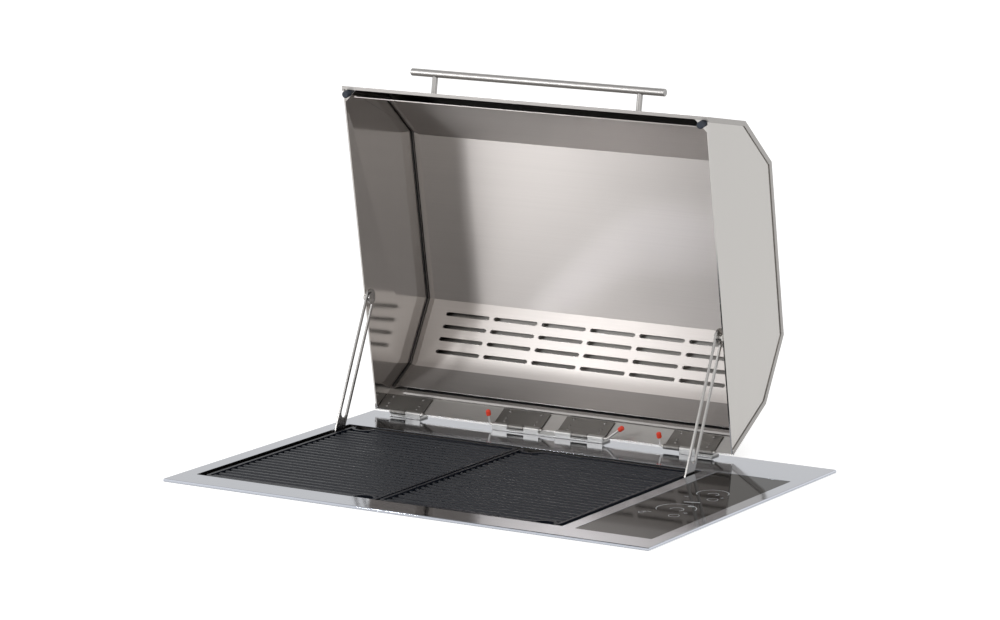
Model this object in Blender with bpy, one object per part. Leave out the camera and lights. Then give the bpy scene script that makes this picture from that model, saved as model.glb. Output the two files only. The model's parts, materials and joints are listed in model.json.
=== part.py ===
"""A grill that drops into a worktop: a steel plate with two cast grates and a touch glass, under a
folded steel lid that hinges at the back.  Metres, +Z up.  The origin is the middle of the casing's
underside.  The lid stands open, as it is kept while food is turned."""

import math

import bmesh
import bpy
from mathutils import Vector

# Clearances and cutting allowances
CLEARANCE = 0.0003
OVERRUN = 0.010
SINK = 0.0006

# Facets of round pieces
FINE_SIDES = 24
ROUND_SIDES = 16
SMALL_SIDES = 10
ARC_STEPS = 6

# The plate that lies on the worktop
PLATE_WIDTH = 0.730
PLATE_DEPTH = 0.517
PLATE_SHEET = 0.0012
PLATE_RISE = 0.0042
PLATE_CORNER = 0.002
PLATE_EDGE_BEVEL = 0.0010
RIM_DROP = 0.0036

# Openings in the plate
WELL_FROM_LEFT = 0.023
WELL_FROM_FRONT = 0.0445
WELL_FROM_REAR = 0.100
GLASS_WIDTH = 0.1098
GLASS_FROM_WELL = 0.0192
GLASS_FROM_RIGHT = 0.020
GLASS_FROM_FRONT = 0.043
GLASS_FROM_REAR = 0.0955
OPENING_CORNER = 0.002

# The folded lid, measured with the lid shut
LID_OPEN_ANGLE = math.radians(79.74)
LID_FROM_LEFT = 0.0135
LID_BEYOND_WELL = 0.003
LID_FROM_FRONT = 0.0196
LID_OVERHANG = 0.0020
LID_EDGE_RISE = 0.0045
LID_CHAMFER_INSET = 0.0365
LID_CHAMFER_HEIGHT = 0.101
LID_TOP_INSET = 0.114
LID_TOP_HEIGHT = 0.166
SKIN_SHEET = 0.0012
SKIN_LIP = 0.007
SKIN_HEM = 0.005
SIDE_SHEET = 0.0022
GUSSET_SPAN = 0.020

# The liner inside the lid
LINER_SHEET = 0.0010
LINER_REAR_GAP = 0.0070
LINER_SLOTTED_GAP = 0.0105
LINER_TOP_GAP = 0.0135
LINER_CHAMFER_GAP = 0.0115
LINER_FRONT_GAP = 0.0143
LINER_REAR_HEIGHT = 0.041
LINER_SIDE_GAP = 0.0185
LINER_FLARE_RUN = 0.0115
LINER_FLARE_RISE = 0.0044
LINER_CORNER_CUT = 0.010
SLOT_ROWS = 4
SLOT_LENGTH = 0.0723
SLOT_WIDTH = 0.006
SLOT_PITCH = 0.0785
SLOT_FROM_LEFT = 0.0435
SLOT_FIRST_ROW = 0.0203
SLOT_ROW_PITCH = 0.0190

# Strips that carry the liner's ends, and the rail below it
EDGE_STRIP_SHEET = 0.0016
RAIL_START = 0.0335
RAIL_WIDTH = 0.0095
RAIL_HEIGHT = 0.0042
RAIL_SHOULDER = 0.0020
RAIL_SIDE_GAP = 0.0295

# Rubber stops under the lid's front corners
BUMPER_RADIUS = 0.005
BUMPER_HEIGHT = 0.0085
BUMPER_ROUNDING = 0.0012
BUMPER_STEM_RADIUS = 0.002
BUMPER_STEM_PLAY = 0.0003
BUMPER_BUTTON_RADIUS = 0.0035
BUMPER_BUTTON_HEIGHT = 0.0015
BUMPER_FROM_SIDE = 0.0091
BUMPER_FROM_FRONT = 0.0103

# Handle across the lid's front
HANDLE_LENGTH = 0.396
HANDLE_RADIUS = 0.00525
HANDLE_END_BEVEL = 0.0008
HANDLE_STANDOFF = 0.0275
HANDLE_UP_FACET = 0.039
POST_FROM_END = 0.038
POST_RADIUS = 0.004
HANDLE_HOLE_RADIUS = 0.0028
HANDLE_SCREW_RADIUS = 0.0025
HANDLE_SCREW_HEAD_RADIUS = 0.0045
HANDLE_SCREW_HEAD_HEIGHT = 0.0028
HANDLE_SCREW_REACH = 0.012

# Hinges on the plate's rear margin
HINGE_FROM_REAR = 0.0231
HINGE_RISE = 0.0070
LEAF_WIDTH = 0.075
LEAF_SHEET = 0.0018
LEAF_LENGTH = 0.031
LEAF_CLEAR_START = 0.0007
KNUCKLE_RADIUS = 0.0036
BORE_RADIUS = 0.0023
PIN_RADIUS = 0.0020
KNUCKLE_GAP = 0.001
LEAF_PLACE_SHARES = (0.0076, 0.3444, 0.5223, 0.8177)
STUD_SPREAD = 0.050
STUD_UPPER = 0.0275
STUD_LOWER = 0.0130
STUD_RADIUS = 0.0022
STUD_HEIGHT = 0.0011
FOOT_LENGTH = 0.018
FOOT_THICKNESS = 0.0020
WEB_LOW_HEIGHT = 0.0027
FOOT_SCREW_RADIUS = 0.0028
FOOT_SCREW_HEIGHT = 0.0010

# Hinge pins with their levers and caps
PIN_TIP = 0.0030
LEVER_RADIUS = 0.0016
LEVER_HEIGHTS = (0, 0.0170, 0.0300, 0.0160)
LEVER_BEND = 0.0040
LEVER_OFFSET = 0.0008
LEVER_TILTS = (0, math.radians(-3.5), math.radians(53.5), math.radians(-5.7))
CAP_RADIUS = 0.0035
CAP_HEIGHT = 0.0085
CAP_COVER = 0.0045

# Slotted stays at both sides
STAY_WIDTH = 0.022
STAY_SHEET = 0.0025
STAY_SLOT_WIDTH = 0.0135
STAY_SLOT_START = 0.028
STAY_FROM_WELL_REAR = 0.0323
STAY_FIXED_DROP = 0.0190
STAY_LID_FORWARD = 0.1658
STAY_LID_RISE = 0.004
STAY_END_BEYOND = 0.013
STAY_SLOT_BEYOND = 0.0070
STAY_LEFT_INSET = 0.0017
STAY_RIGHT_INSET = 0.0055
STAY_HOLE_RADIUS = 0.0033
STAY_PIN_RADIUS = 0.0030
STAY_PIN_HEAD_RADIUS = 0.0050
STAY_PIN_HEAD_HEIGHT = 0.0016
STAY_BOSS_RADIUS = 0.0045
BUTTON_SHANK_RADIUS = 0.00645
BUTTON_HEAD_RADIUS = 0.0085
BUTTON_HEAD_HEIGHT = 0.0020
BUTTON_DOME_RADIUS = 0.0045
BUTTON_DOME_HEIGHT = 0.0012

# Cast grates
GRATE_GAP = 0.0035
GRATE_SIDE_GAP = 0.010
GRATE_FRONT_GAP = 0.005
GRATE_REAR_GAP = 0.006
GRATE_BELOW_PLATE = 0.001
GRATE_BASE = 0.006
GRATE_RIM_WIDTH = 0.0045
GRATE_RIM_HEIGHT = 0.004
GRATE_CORNER = 0.006
RIB_COUNT = 25
RIB_WIDTH = 0.0064
RIB_TOP_WIDTH = 0.0040
RIB_HEIGHT = 0.003
RIB_END_GAP = 0.0022
NOTCH_RADIUS = 0.014
NOTCH_FROM_SIDE = 0.020

# Steel pan under the plate, and what it holds
WELL_SHEET = 0.001
WELL_PAN_DEPTH = 0.078
WELL_FLANGE = 0.004
RAIL_SHEET = 0.0015
GRATE_RAIL_FOOT = 0.010
GRATE_RAIL_SIDE_GAP = 0.014
ELEMENT_RADIUS = 0.0035
ELEMENT_DROP = 0.022
ELEMENT_RUN_SHARES = (0.0711, 0.2133, 0.3555)
ELEMENT_FROM_FRONT = 0.049
ELEMENT_FROM_REAR = 0.0605
ELEMENT_HEAD_FROM_REAR = 0.0225
ELEMENT_HEAD_DEPTH = 0.012
ELEMENT_HEAD_WIDTH = 0.036
ELEMENT_HEAD_HEIGHT = 0.012
BLADE_SPACING = 0.020
BLADE_WIDTH = 0.0065
BLADE_THICKNESS = 0.0010
BLADE_LENGTH = 0.010
BLADE_SLOT_PLAY = 0.0005
SOCKET_WIDTH = 0.044
SOCKET_HEIGHT = 0.018
BRACE_WIDTH = 0.008
BRACE_THICKNESS = 0.002
BRACE_FROM_FRONT = 0.050
BRACE_FROM_REAR = 0.070
TRAY_NARROWER = 0.01725
TRAY_SHEET = 0.0008
TRAY_FLANGE = 0.006
TRAY_FROM_FRONT = 0.018
TRAY_FROM_REAR = 0.0345

# Casing under the plate
CASING_SIDE_MARGIN = 0.016
CASING_END_MARGIN = 0.0205
CASING_BELOW_WELL = 0.016
CASING_SHEET = 0.001
CASING_FLANGE = 0.010
CASING_TOP_BELOW_PLATE = 0.0003
GASKET_WIDTH = 0.0035
SHIELD_SHEET = 0.001
SHIELD_FROM_WELL = 0.007
VENT_LENGTH = 0.030
VENT_WIDTH = 0.004
VENT_PITCH = 0.010
VENT_COUNT = 10
VENT_RISE = 0.030
GLASS_THICKNESS = 0.004
GLASS_PLAY = 0.0003
GLASS_BELOW_PLATE = 0.0002
CARRIER_SHEET = 0.0012
CARRIER_LIP = 0.0025
BOARD_THICKNESS = 0.0016
TOUCH_BOARD_WIDTH = 0.084
TOUCH_BOARD_DEPTH = 0.120
TOUCH_PAD_RADIUS = 0.007
TOUCH_PAD_HEIGHT = 0.0021
POWER_BOARD_WIDTH = 0.095
POWER_BOARD_DEPTH = 0.170
POWER_BOARD_RISE = 0.008
RELAY_SIZE = (0.016, 0.020, 0.015)
COIL_RADIUS = 0.009
COIL_HEIGHT = 0.018
SPACER_RADIUS = 0.003
TERMINAL_SIZE = (0.050, 0.024, 0.020)
TERMINAL_FUNNEL_RADIUS = 0.003
TERMINAL_FUNNEL_DEPTH = 0.008
TERMINAL_WAYS = 5
GLAND_RADIUS = 0.0095
GLAND_NUT_RADIUS = 0.0125
GLAND_BORE = 0.0045
GLAND_NUT_LENGTH = 0.006
GLAND_TAIL_LENGTH = 0.016
GLAND_FROM_RIGHT = 0.060
GLAND_RISE = 0.030
CLAMP_WIDTH = 0.020
CLAMP_SHEET = 0.0025
CLAMP_HEIGHT = 0.034
CLAMP_REACH = 0.018
CLAMP_FROM_CORNER = 0.119
CLAMP_BELOW_WORKTOP = 0.030
CLAMP_SCREW_RADIUS = 0.0025
CLAMP_SCREW_LENGTH = 0.026
CLAMP_PAD_RADIUS = 0.006
CLAMP_PAD_THICKNESS = 0.002

# Places that the sizes above give
PLATE_UNDER = CASING_SHEET + CASING_BELOW_WELL + WELL_PAN_DEPTH
PLATE_TOP = PLATE_UNDER + PLATE_SHEET
WORKTOP_HEIGHT = PLATE_TOP - PLATE_RISE
PLATE_LEFT = -PLATE_WIDTH / 2
PLATE_RIGHT = PLATE_WIDTH / 2
PLATE_FRONT = -PLATE_DEPTH / 2
PLATE_REAR = PLATE_DEPTH / 2
GLASS_RIGHT = PLATE_RIGHT - GLASS_FROM_RIGHT
GLASS_LEFT = GLASS_RIGHT - GLASS_WIDTH
GLASS_FRONT = PLATE_FRONT + GLASS_FROM_FRONT
GLASS_REAR = PLATE_REAR - GLASS_FROM_REAR
WELL_LEFT = PLATE_LEFT + WELL_FROM_LEFT
WELL_RIGHT = GLASS_LEFT - GLASS_FROM_WELL
WELL_FRONT = PLATE_FRONT + WELL_FROM_FRONT
WELL_REAR = PLATE_REAR - WELL_FROM_REAR
WELL_FLOOR = PLATE_UNDER - WELL_PAN_DEPTH
HINGE_Y = PLATE_REAR - HINGE_FROM_REAR
HINGE_Z = PLATE_TOP + HINGE_RISE
LID_LEFT = PLATE_LEFT + LID_FROM_LEFT
LID_RIGHT = WELL_RIGHT + LID_BEYOND_WELL
LID_WIDTH = LID_RIGHT - LID_LEFT
LID_CENTRE = (LID_LEFT + LID_RIGHT) / 2
LID_BACK = LID_OVERHANG
LID_FRONT = PLATE_FRONT + LID_FROM_FRONT - HINGE_Y
SIDE_INNER_LEFT = LID_LEFT + SKIN_SHEET + CLEARANCE + SIDE_SHEET
SIDE_INNER_RIGHT = LID_RIGHT - SKIN_SHEET - CLEARANCE - SIDE_SHEET


def mesh_of(points, faces):
    """A closed mesh with its faces turned outwards."""
    mesh = bpy.data.meshes.new("form")
    mesh.from_pydata([tuple(point) for point in points], [], faces)
    work = bmesh.new()
    work.from_mesh(mesh)
    bmesh.ops.recalc_face_normals(work, faces=work.faces)
    if work.calc_volume(signed=True) < 0:
        bmesh.ops.reverse_faces(work, faces=work.faces)
    work.to_mesh(mesh)
    work.free()
    return mesh


def loft(sections):
    """A closed body through sections that have the same number of points."""
    size = len(sections[0])
    points = [point for section in sections for point in section]
    faces = [list(range(size))]
    faces.append([len(points) - size + index for index in range(size)])
    for row in range(len(sections) - 1):
        for index in range(size):
            after = (index + 1) % size
            low = row * size
            high = low + size
            faces.append([low + index, low + after, high + after, high + index])
    return mesh_of(points, faces)


def prism(outline, axis, low, high):
    """An outline carried along x, y or z; its pairs are the other two coordinates in order."""
    def place(pair, along):
        point = list(pair)
        point.insert("xyz".index(axis), along)
        return tuple(point)
    return loft([[place(pair, low) for pair in outline], [place(pair, high) for pair in outline]])


def box(low, high):
    """A block between two corners."""
    outline = [(low[0], low[1]), (high[0], low[1]), (high[0], high[1]), (low[0], high[1])]
    return prism(outline, "z", low[2], high[2])


def turned(profile, start, direction, sides=ROUND_SIDES):
    """A body of rings about an axis; the profile is (distance along the axis, radius)."""
    ahead = Vector(direction).normalized()
    side = ahead.orthogonal().normalized()
    across = ahead.cross(side)
    sections = []
    for along, radius in profile:
        centre = Vector(start) + ahead * along
        ring = []
        for index in range(sides):
            turn = math.tau * index / sides
            ring.append(centre + (side * math.cos(turn) + across * math.sin(turn)) * radius)
        sections.append(ring)
    return loft(sections)


def rod(start, end, radius, sides=ROUND_SIDES):
    """A plain round bar."""
    length = (Vector(end) - Vector(start)).length
    return turned([(0, radius), (length, radius)], start, Vector(end) - Vector(start), sides)


def sweep(points, radii, sides=SMALL_SIDES):
    """A round bar bent along points, with a radius at each."""
    path = [Vector(point) for point in points]
    heading = (path[1] - path[0]).normalized()
    side = heading.orthogonal().normalized()
    sections = []
    for index, centre in enumerate(path):
        before = path[max(index - 1, 0)]
        after = path[min(index + 1, len(path) - 1)]
        heading = (after - before).normalized()
        side = (side - heading * side.dot(heading)).normalized()
        across = heading.cross(side)
        ring = []
        for step in range(sides):
            turn = math.tau * step / sides
            ring.append(centre + (side * math.cos(turn) + across * math.sin(turn)) * radii[index])
        sections.append(ring)
    return loft(sections)


def arc(centre, radius, start, end, steps=ARC_STEPS):
    """Points along an arc, in degrees."""
    points = []
    for index in range(steps + 1):
        turn = math.radians(start + (end - start) * index / steps)
        points.append((centre[0] + radius * math.cos(turn), centre[1] + radius * math.sin(turn)))
    return points


def rounded(left, front, right, rear, radius, steps=ARC_STEPS):
    """A rectangle with round corners."""
    corners = (
        (right - radius, rear - radius, 0),
        (left + radius, rear - radius, 90),
        (left + radius, front + radius, 180),
        (right - radius, front + radius, 270),
    )
    outline = []
    for across, along, start in corners:
        outline += arc((across, along), radius, start, start + 90, steps)
    return outline


def boolean(mesh, others, operation):
    """The exact cut or union of one mesh with others."""
    for other in others:
        base = bpy.data.objects.new("base", mesh)
        tool = bpy.data.objects.new("tool", other)
        for item in (base, tool):
            bpy.context.scene.collection.objects.link(item)
        change = base.modifiers.new("change", "BOOLEAN")
        change.operation = operation
        change.solver = "EXACT"
        change.object = tool
        graph = bpy.context.evaluated_depsgraph_get()
        mesh = bpy.data.meshes.new_from_object(base.evaluated_get(graph))
        for item in (base, tool):
            bpy.data.objects.remove(item)
    return mesh


def cut(mesh, *tools):
    return boolean(mesh, tools, "DIFFERENCE")


def fuse(mesh, *tools):
    return boolean(mesh, tools, "UNION")


def gather(*meshes):
    """Separate closed meshes put in one, to cut or join many places at once."""
    work = bmesh.new()
    for mesh in meshes:
        work.from_mesh(mesh)
    joined = bpy.data.meshes.new("gathered")
    work.to_mesh(joined)
    work.free()
    return joined


def finish(name, colour, roughness, metallic):
    """A plain material."""
    made = bpy.data.materials.new(name)
    made.use_nodes = True
    shader = made.node_tree.nodes["Principled BSDF"]
    shader.inputs["Base Color"].default_value = (*colour, 1)
    shader.inputs["Roughness"].default_value = roughness
    shader.inputs["Metallic"].default_value = metallic
    made.diffuse_color = (*colour, 1)
    return made


def piece(name, mesh, material, carrier=None):
    """One named sub-part."""
    mesh.name = name
    made = bpy.data.objects.new(name, mesh)
    bpy.context.scene.collection.objects.link(made)
    mesh.materials.clear()
    mesh.materials.append(material)
    mesh.shade_smooth()
    mesh.set_sharp_from_angle(angle=math.radians(30))
    made.parent = carrier
    return made


def pivot(name, place, tilt):
    """An empty on a joint's axis, turned about X."""
    made = bpy.data.objects.new(name, None)
    bpy.context.scene.collection.objects.link(made)
    made.location = place
    made.rotation_euler = (tilt, 0, 0)
    return made


for leftover in list(bpy.data.objects):
    bpy.data.objects.remove(leftover)

brushed = finish("brushed stainless steel", (0.58, 0.57, 0.56), 0.35, 1.0)
bright = finish("polished stainless steel", (0.72, 0.72, 0.72), 0.2, 1.0)
dark_steel = finish("dark stainless steel", (0.22, 0.21, 0.20), 0.4, 1.0)
zinc = finish("zinc plated steel", (0.55, 0.57, 0.60), 0.45, 1.0)
iron = finish("coated cast iron", (0.035, 0.037, 0.042), 0.55, 0.2)
black_glass = finish("black ceramic glass", (0.02, 0.018, 0.016), 0.06, 0.0)
rubber = finish("moulded rubber", (0.035, 0.04, 0.05), 0.7, 0.0)
red_cap = finish("red vinyl", (0.75, 0.08, 0.03), 0.45, 0.0)
heater = finish("heater sheath", (0.12, 0.11, 0.11), 0.5, 0.9)
ceramic = finish("steatite ceramic", (0.75, 0.72, 0.66), 0.6, 0.0)
board = finish("circuit board", (0.02, 0.14, 0.06), 0.5, 0.0)
nylon = finish("black nylon", (0.03, 0.03, 0.03), 0.55, 0.0)

# Plate: a tray pressed upside down, with the well's and the glass's openings
plate_outline = rounded(PLATE_LEFT, PLATE_FRONT, PLATE_RIGHT, PLATE_REAR, PLATE_CORNER, 2)
bevel_outline = rounded(
    PLATE_LEFT + PLATE_EDGE_BEVEL,
    PLATE_FRONT + PLATE_EDGE_BEVEL,
    PLATE_RIGHT - PLATE_EDGE_BEVEL,
    PLATE_REAR - PLATE_EDGE_BEVEL,
    PLATE_CORNER,
    2,
)
plate_levels = (
    (PLATE_TOP - RIM_DROP, plate_outline),
    (PLATE_TOP - PLATE_EDGE_BEVEL, plate_outline),
    (PLATE_TOP, bevel_outline),
)
plate = loft([[(x, y, level) for x, y in outline] for level, outline in plate_levels])
plate_hollow = box(
    (PLATE_LEFT + PLATE_SHEET, PLATE_FRONT + PLATE_SHEET, PLATE_TOP - RIM_DROP - OVERRUN),
    (PLATE_RIGHT - PLATE_SHEET, PLATE_REAR - PLATE_SHEET, PLATE_UNDER),
)
well_opening = rounded(WELL_LEFT, WELL_FRONT, WELL_RIGHT, WELL_REAR, OPENING_CORNER, 2)
glass_opening = rounded(GLASS_LEFT, GLASS_FRONT, GLASS_RIGHT, GLASS_REAR, OPENING_CORNER, 2)
plate = cut(
    plate,
    plate_hollow,
    prism(well_opening, "z", WORKTOP_HEIGHT, PLATE_TOP + OVERRUN),
    prism(glass_opening, "z", WORKTOP_HEIGHT, PLATE_TOP + OVERRUN),
)
piece("trim_plate", plate, brushed)


def frame_ring(left, front, right, rear, inset, low, high):
    """A flat ring between a rectangle and the same rectangle drawn in."""
    outer = box((left, front, low), (right, rear, high))
    inner = box(
        (left + inset, front + inset, low - OVERRUN), (right - inset, rear - inset, high + OVERRUN)
    )
    return cut(outer, inner)


# Seal between the worktop and the plate's rim
GASKET_INSET = PLATE_SHEET + CLEARANCE
piece(
    "worktop_gasket",
    frame_ring(
        PLATE_LEFT + GASKET_INSET,
        PLATE_FRONT + GASKET_INSET,
        PLATE_RIGHT - GASKET_INSET,
        PLATE_REAR - GASKET_INSET,
        GASKET_WIDTH,
        WORKTOP_HEIGHT,
        PLATE_UNDER - CLEARANCE,
    ),
    rubber,
)

# Casing: an open steel box whose flange lies under the plate
CASING_RIGHT = PLATE_RIGHT - CASING_SIDE_MARGIN
CASING_REAR = PLATE_REAR - CASING_END_MARGIN
CASING_TOP = PLATE_UNDER - CASING_TOP_BELOW_PLATE
casing = box((-CASING_RIGHT, -CASING_REAR, 0), (CASING_RIGHT, CASING_REAR, CASING_TOP))
casing_flange = box(
    (-CASING_RIGHT - CASING_FLANGE, -CASING_REAR - CASING_FLANGE, CASING_TOP - CASING_SHEET),
    (CASING_RIGHT + CASING_FLANGE, CASING_REAR + CASING_FLANGE, CASING_TOP),
)
casing_hollow = box(
    (-CASING_RIGHT + CASING_SHEET, -CASING_REAR + CASING_SHEET, CASING_SHEET),
    (CASING_RIGHT - CASING_SHEET, CASING_REAR - CASING_SHEET, CASING_TOP + OVERRUN),
)
GLAND_X = CASING_RIGHT - GLAND_FROM_RIGHT
vents = []
for side in (-1, 1):
    for index in range(VENT_COUNT):
        vent_y = (index - (VENT_COUNT - 1) / 2) * VENT_PITCH
        vents.append(
            box(
                (side * CASING_RIGHT - OVERRUN, vent_y - VENT_WIDTH / 2, VENT_RISE),
                (side * CASING_RIGHT + OVERRUN, vent_y + VENT_WIDTH / 2, VENT_RISE + VENT_LENGTH),
            )
        )
gland_hole = rod(
    (GLAND_X, CASING_REAR - OVERRUN, GLAND_RISE),
    (GLAND_X, CASING_REAR + OVERRUN, GLAND_RISE),
    GLAND_RADIUS + CLEARANCE,
)
casing = cut(fuse(casing, casing_flange), casing_hollow, gather(*vents), gland_hole)
piece("outer_casing", casing, zinc)

# Well: the pan below the big opening
WELL_WALL = CLEARANCE + WELL_SHEET
well = box(
    (WELL_LEFT - WELL_WALL, WELL_FRONT - WELL_WALL, WELL_FLOOR),
    (WELL_RIGHT + WELL_WALL, WELL_REAR + WELL_WALL, PLATE_UNDER - CLEARANCE),
)
well_flange = box(
    (
        WELL_LEFT - WELL_WALL - WELL_FLANGE,
        WELL_FRONT - WELL_WALL - WELL_FLANGE,
        PLATE_UNDER - CLEARANCE - WELL_SHEET,
    ),
    (
        WELL_RIGHT + WELL_WALL + WELL_FLANGE,
        WELL_REAR + WELL_WALL + WELL_FLANGE,
        PLATE_UNDER - CLEARANCE,
    ),
)
well_hollow = box(
    (WELL_LEFT - CLEARANCE, WELL_FRONT - CLEARANCE, WELL_FLOOR + WELL_SHEET),
    (WELL_RIGHT + CLEARANCE, WELL_REAR + CLEARANCE, PLATE_TOP),
)
SHIELD_X = WELL_RIGHT + SHIELD_FROM_WELL
GRATE_LEFT = WELL_LEFT + GRATE_SIDE_GAP
GRATE_RIGHT = WELL_RIGHT - GRATE_SIDE_GAP
GRATE_WIDTH = (GRATE_RIGHT - GRATE_LEFT - GRATE_GAP) / 2
GRATE_FRONT = WELL_FRONT + GRATE_FRONT_GAP
GRATE_REAR = WELL_REAR - GRATE_REAR_GAP
GRATE_TOP = PLATE_TOP - GRATE_BELOW_PLATE
GRATE_FLOOR = GRATE_TOP - GRATE_RIM_HEIGHT
GRATE_UNDER = GRATE_FLOOR - GRATE_BASE
HALF_CENTRES = (GRATE_LEFT + GRATE_WIDTH / 2, GRATE_RIGHT - GRATE_WIDTH / 2)
ELEMENT_FRONT = WELL_FRONT + ELEMENT_FROM_FRONT
ELEMENT_REAR = WELL_REAR - ELEMENT_FROM_REAR
ELEMENT_HEAD_FRONT = WELL_REAR - ELEMENT_HEAD_FROM_REAR
ELEMENT_Z = PLATE_TOP - ELEMENT_DROP
TRAY_WIDTH = GRATE_WIDTH - TRAY_NARROWER
TRAY_FRONT = WELL_FRONT + TRAY_FROM_FRONT
TRAY_REAR = WELL_REAR - TRAY_FROM_REAR
SOCKET_FRONT = WELL_REAR - CLEARANCE
well = cut(fuse(well, well_flange), well_hollow)
piece("grill_well", well, bright)

# Wall that keeps the heat of the well from the controls
shield = box(
    (SHIELD_X, -CASING_REAR + CASING_SHEET + CLEARANCE, CASING_SHEET + CLEARANCE),
    (
        SHIELD_X + SHIELD_SHEET,
        CASING_REAR - CASING_SHEET - CLEARANCE,
        PLATE_UNDER - CLEARANCE - WELL_SHEET - CLEARANCE,
    ),
)
shield_foot = box(
    (SHIELD_X, -CASING_REAR + CASING_SHEET + CLEARANCE, CASING_SHEET + CLEARANCE),
    (
        SHIELD_X + CASING_FLANGE,
        CASING_REAR - CASING_SHEET - CLEARANCE,
        CASING_SHEET + CLEARANCE + SHIELD_SHEET,
    ),
)
piece("heat_shield", fuse(shield, shield_foot), zinc)

# Glass with its carrier
GLASS_TOP = PLATE_TOP - GLASS_BELOW_PLATE
GLASS_UNDER = GLASS_TOP - GLASS_THICKNESS
glass_outline = rounded(
    GLASS_LEFT + GLASS_PLAY,
    GLASS_FRONT + GLASS_PLAY,
    GLASS_RIGHT - GLASS_PLAY,
    GLASS_REAR - GLASS_PLAY,
    OPENING_CORNER,
    2,
)
piece("glass_panel", prism(glass_outline, "z", GLASS_UNDER, GLASS_TOP), black_glass)
carrier_top = PLATE_UNDER - CLEARANCE
carrier_under = GLASS_UNDER - CLEARANCE - CARRIER_SHEET
carrier = box(
    (GLASS_LEFT - CARRIER_LIP, GLASS_FRONT - CARRIER_LIP, carrier_under),
    (GLASS_RIGHT + CARRIER_LIP, GLASS_REAR + CARRIER_LIP, carrier_top),
)
carrier_seat = box(
    (GLASS_LEFT, GLASS_FRONT, GLASS_UNDER - CLEARANCE), (GLASS_RIGHT, GLASS_REAR, PLATE_TOP)
)
carrier_window = box(
    (GLASS_LEFT + CARRIER_LIP, GLASS_FRONT + CARRIER_LIP, carrier_under - OVERRUN),
    (GLASS_RIGHT - CARRIER_LIP, GLASS_REAR - CARRIER_LIP, PLATE_TOP),
)
piece("glass_carrier", cut(carrier, carrier_seat, carrier_window), zinc)

# Control boards under and beside the glass
touch_x = (GLASS_LEFT + GLASS_RIGHT) / 2
touch_y = GLASS_FRONT + CARRIER_LIP + CLEARANCE + TOUCH_BOARD_DEPTH / 2
touch_top = GLASS_UNDER - TOUCH_PAD_HEIGHT
touch_board = box(
    (touch_x - TOUCH_BOARD_WIDTH / 2, touch_y - TOUCH_BOARD_DEPTH / 2, touch_top - BOARD_THICKNESS),
    (touch_x + TOUCH_BOARD_WIDTH / 2, touch_y + TOUCH_BOARD_DEPTH / 2, touch_top),
)
pads = []
for column in (-1, 1):
    for row in (-1, 0, 1):
        pad_x = touch_x + column * TOUCH_BOARD_WIDTH / 4
        pad_y = touch_y + row * TOUCH_BOARD_DEPTH / 3
        pads.append(
            rod(
                (pad_x, pad_y, touch_top - SINK),
                (pad_x, pad_y, GLASS_UNDER - CLEARANCE),
                TOUCH_PAD_RADIUS,
                SMALL_SIDES,
            )
        )
piece("touch_board", fuse(touch_board, gather(*pads)), board)

POWER_X = (SHIELD_X + CASING_RIGHT) / 2
power_under = CASING_SHEET + POWER_BOARD_RISE
power_top = power_under + BOARD_THICKNESS
power_low = (POWER_X - POWER_BOARD_WIDTH / 2, -POWER_BOARD_DEPTH / 2, power_under)
power_high = (POWER_X + POWER_BOARD_WIDTH / 2, POWER_BOARD_DEPTH / 2, power_top)
power_parts = []
for column in (-1, 1):
    for row in (-1, 1):
        spot = (POWER_X + column * POWER_BOARD_WIDTH * 3 / 8, row * POWER_BOARD_DEPTH * 3 / 8)
        power_parts.append(
            rod(
                (*spot, CASING_SHEET + CLEARANCE), (*spot, power_under + SINK), SPACER_RADIUS, SMALL_SIDES
            )
        )
for row in (-1, 0, 1):
    relay_y = row * POWER_BOARD_DEPTH / 4
    power_parts.append(
        box(
            (POWER_X - RELAY_SIZE[0], relay_y - RELAY_SIZE[1] / 2, power_top - SINK),
            (POWER_X, relay_y + RELAY_SIZE[1] / 2, power_top + RELAY_SIZE[2]),
        )
    )
coil_x = POWER_X + POWER_BOARD_WIDTH / 4
power_parts.append(
    rod((coil_x, 0, power_top - SINK), (coil_x, 0, power_top + COIL_HEIGHT), COIL_RADIUS)
)
piece("power_board", fuse(box(power_low, power_high), gather(*power_parts)), board)

# Terminal block on the floor, near the cable's way in
terminal_y = CASING_REAR - CASING_SHEET - GLAND_TAIL_LENGTH - TERMINAL_SIZE[1] - OVERRUN
terminal_low = (GLAND_X - TERMINAL_SIZE[0] / 2, terminal_y, CASING_SHEET + CLEARANCE)
terminal_high = (
    GLAND_X + TERMINAL_SIZE[0] / 2,
    terminal_y + TERMINAL_SIZE[1],
    CASING_SHEET + CLEARANCE + TERMINAL_SIZE[2],
)
funnels = []
for index in range(TERMINAL_WAYS):
    funnel_x = GLAND_X + (index - (TERMINAL_WAYS - 1) / 2) * TERMINAL_SIZE[0] / TERMINAL_WAYS
    funnel_z = (terminal_low[2] + terminal_high[2]) / 2
    funnels.append(
        rod(
            (funnel_x, terminal_high[1] - TERMINAL_FUNNEL_DEPTH, funnel_z),
            (funnel_x, terminal_high[1] + OVERRUN, funnel_z),
            TERMINAL_FUNNEL_RADIUS,
            SMALL_SIDES,
        )
    )
piece("terminal_block", cut(box(terminal_low, terminal_high), gather(*funnels)), nylon)

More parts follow.
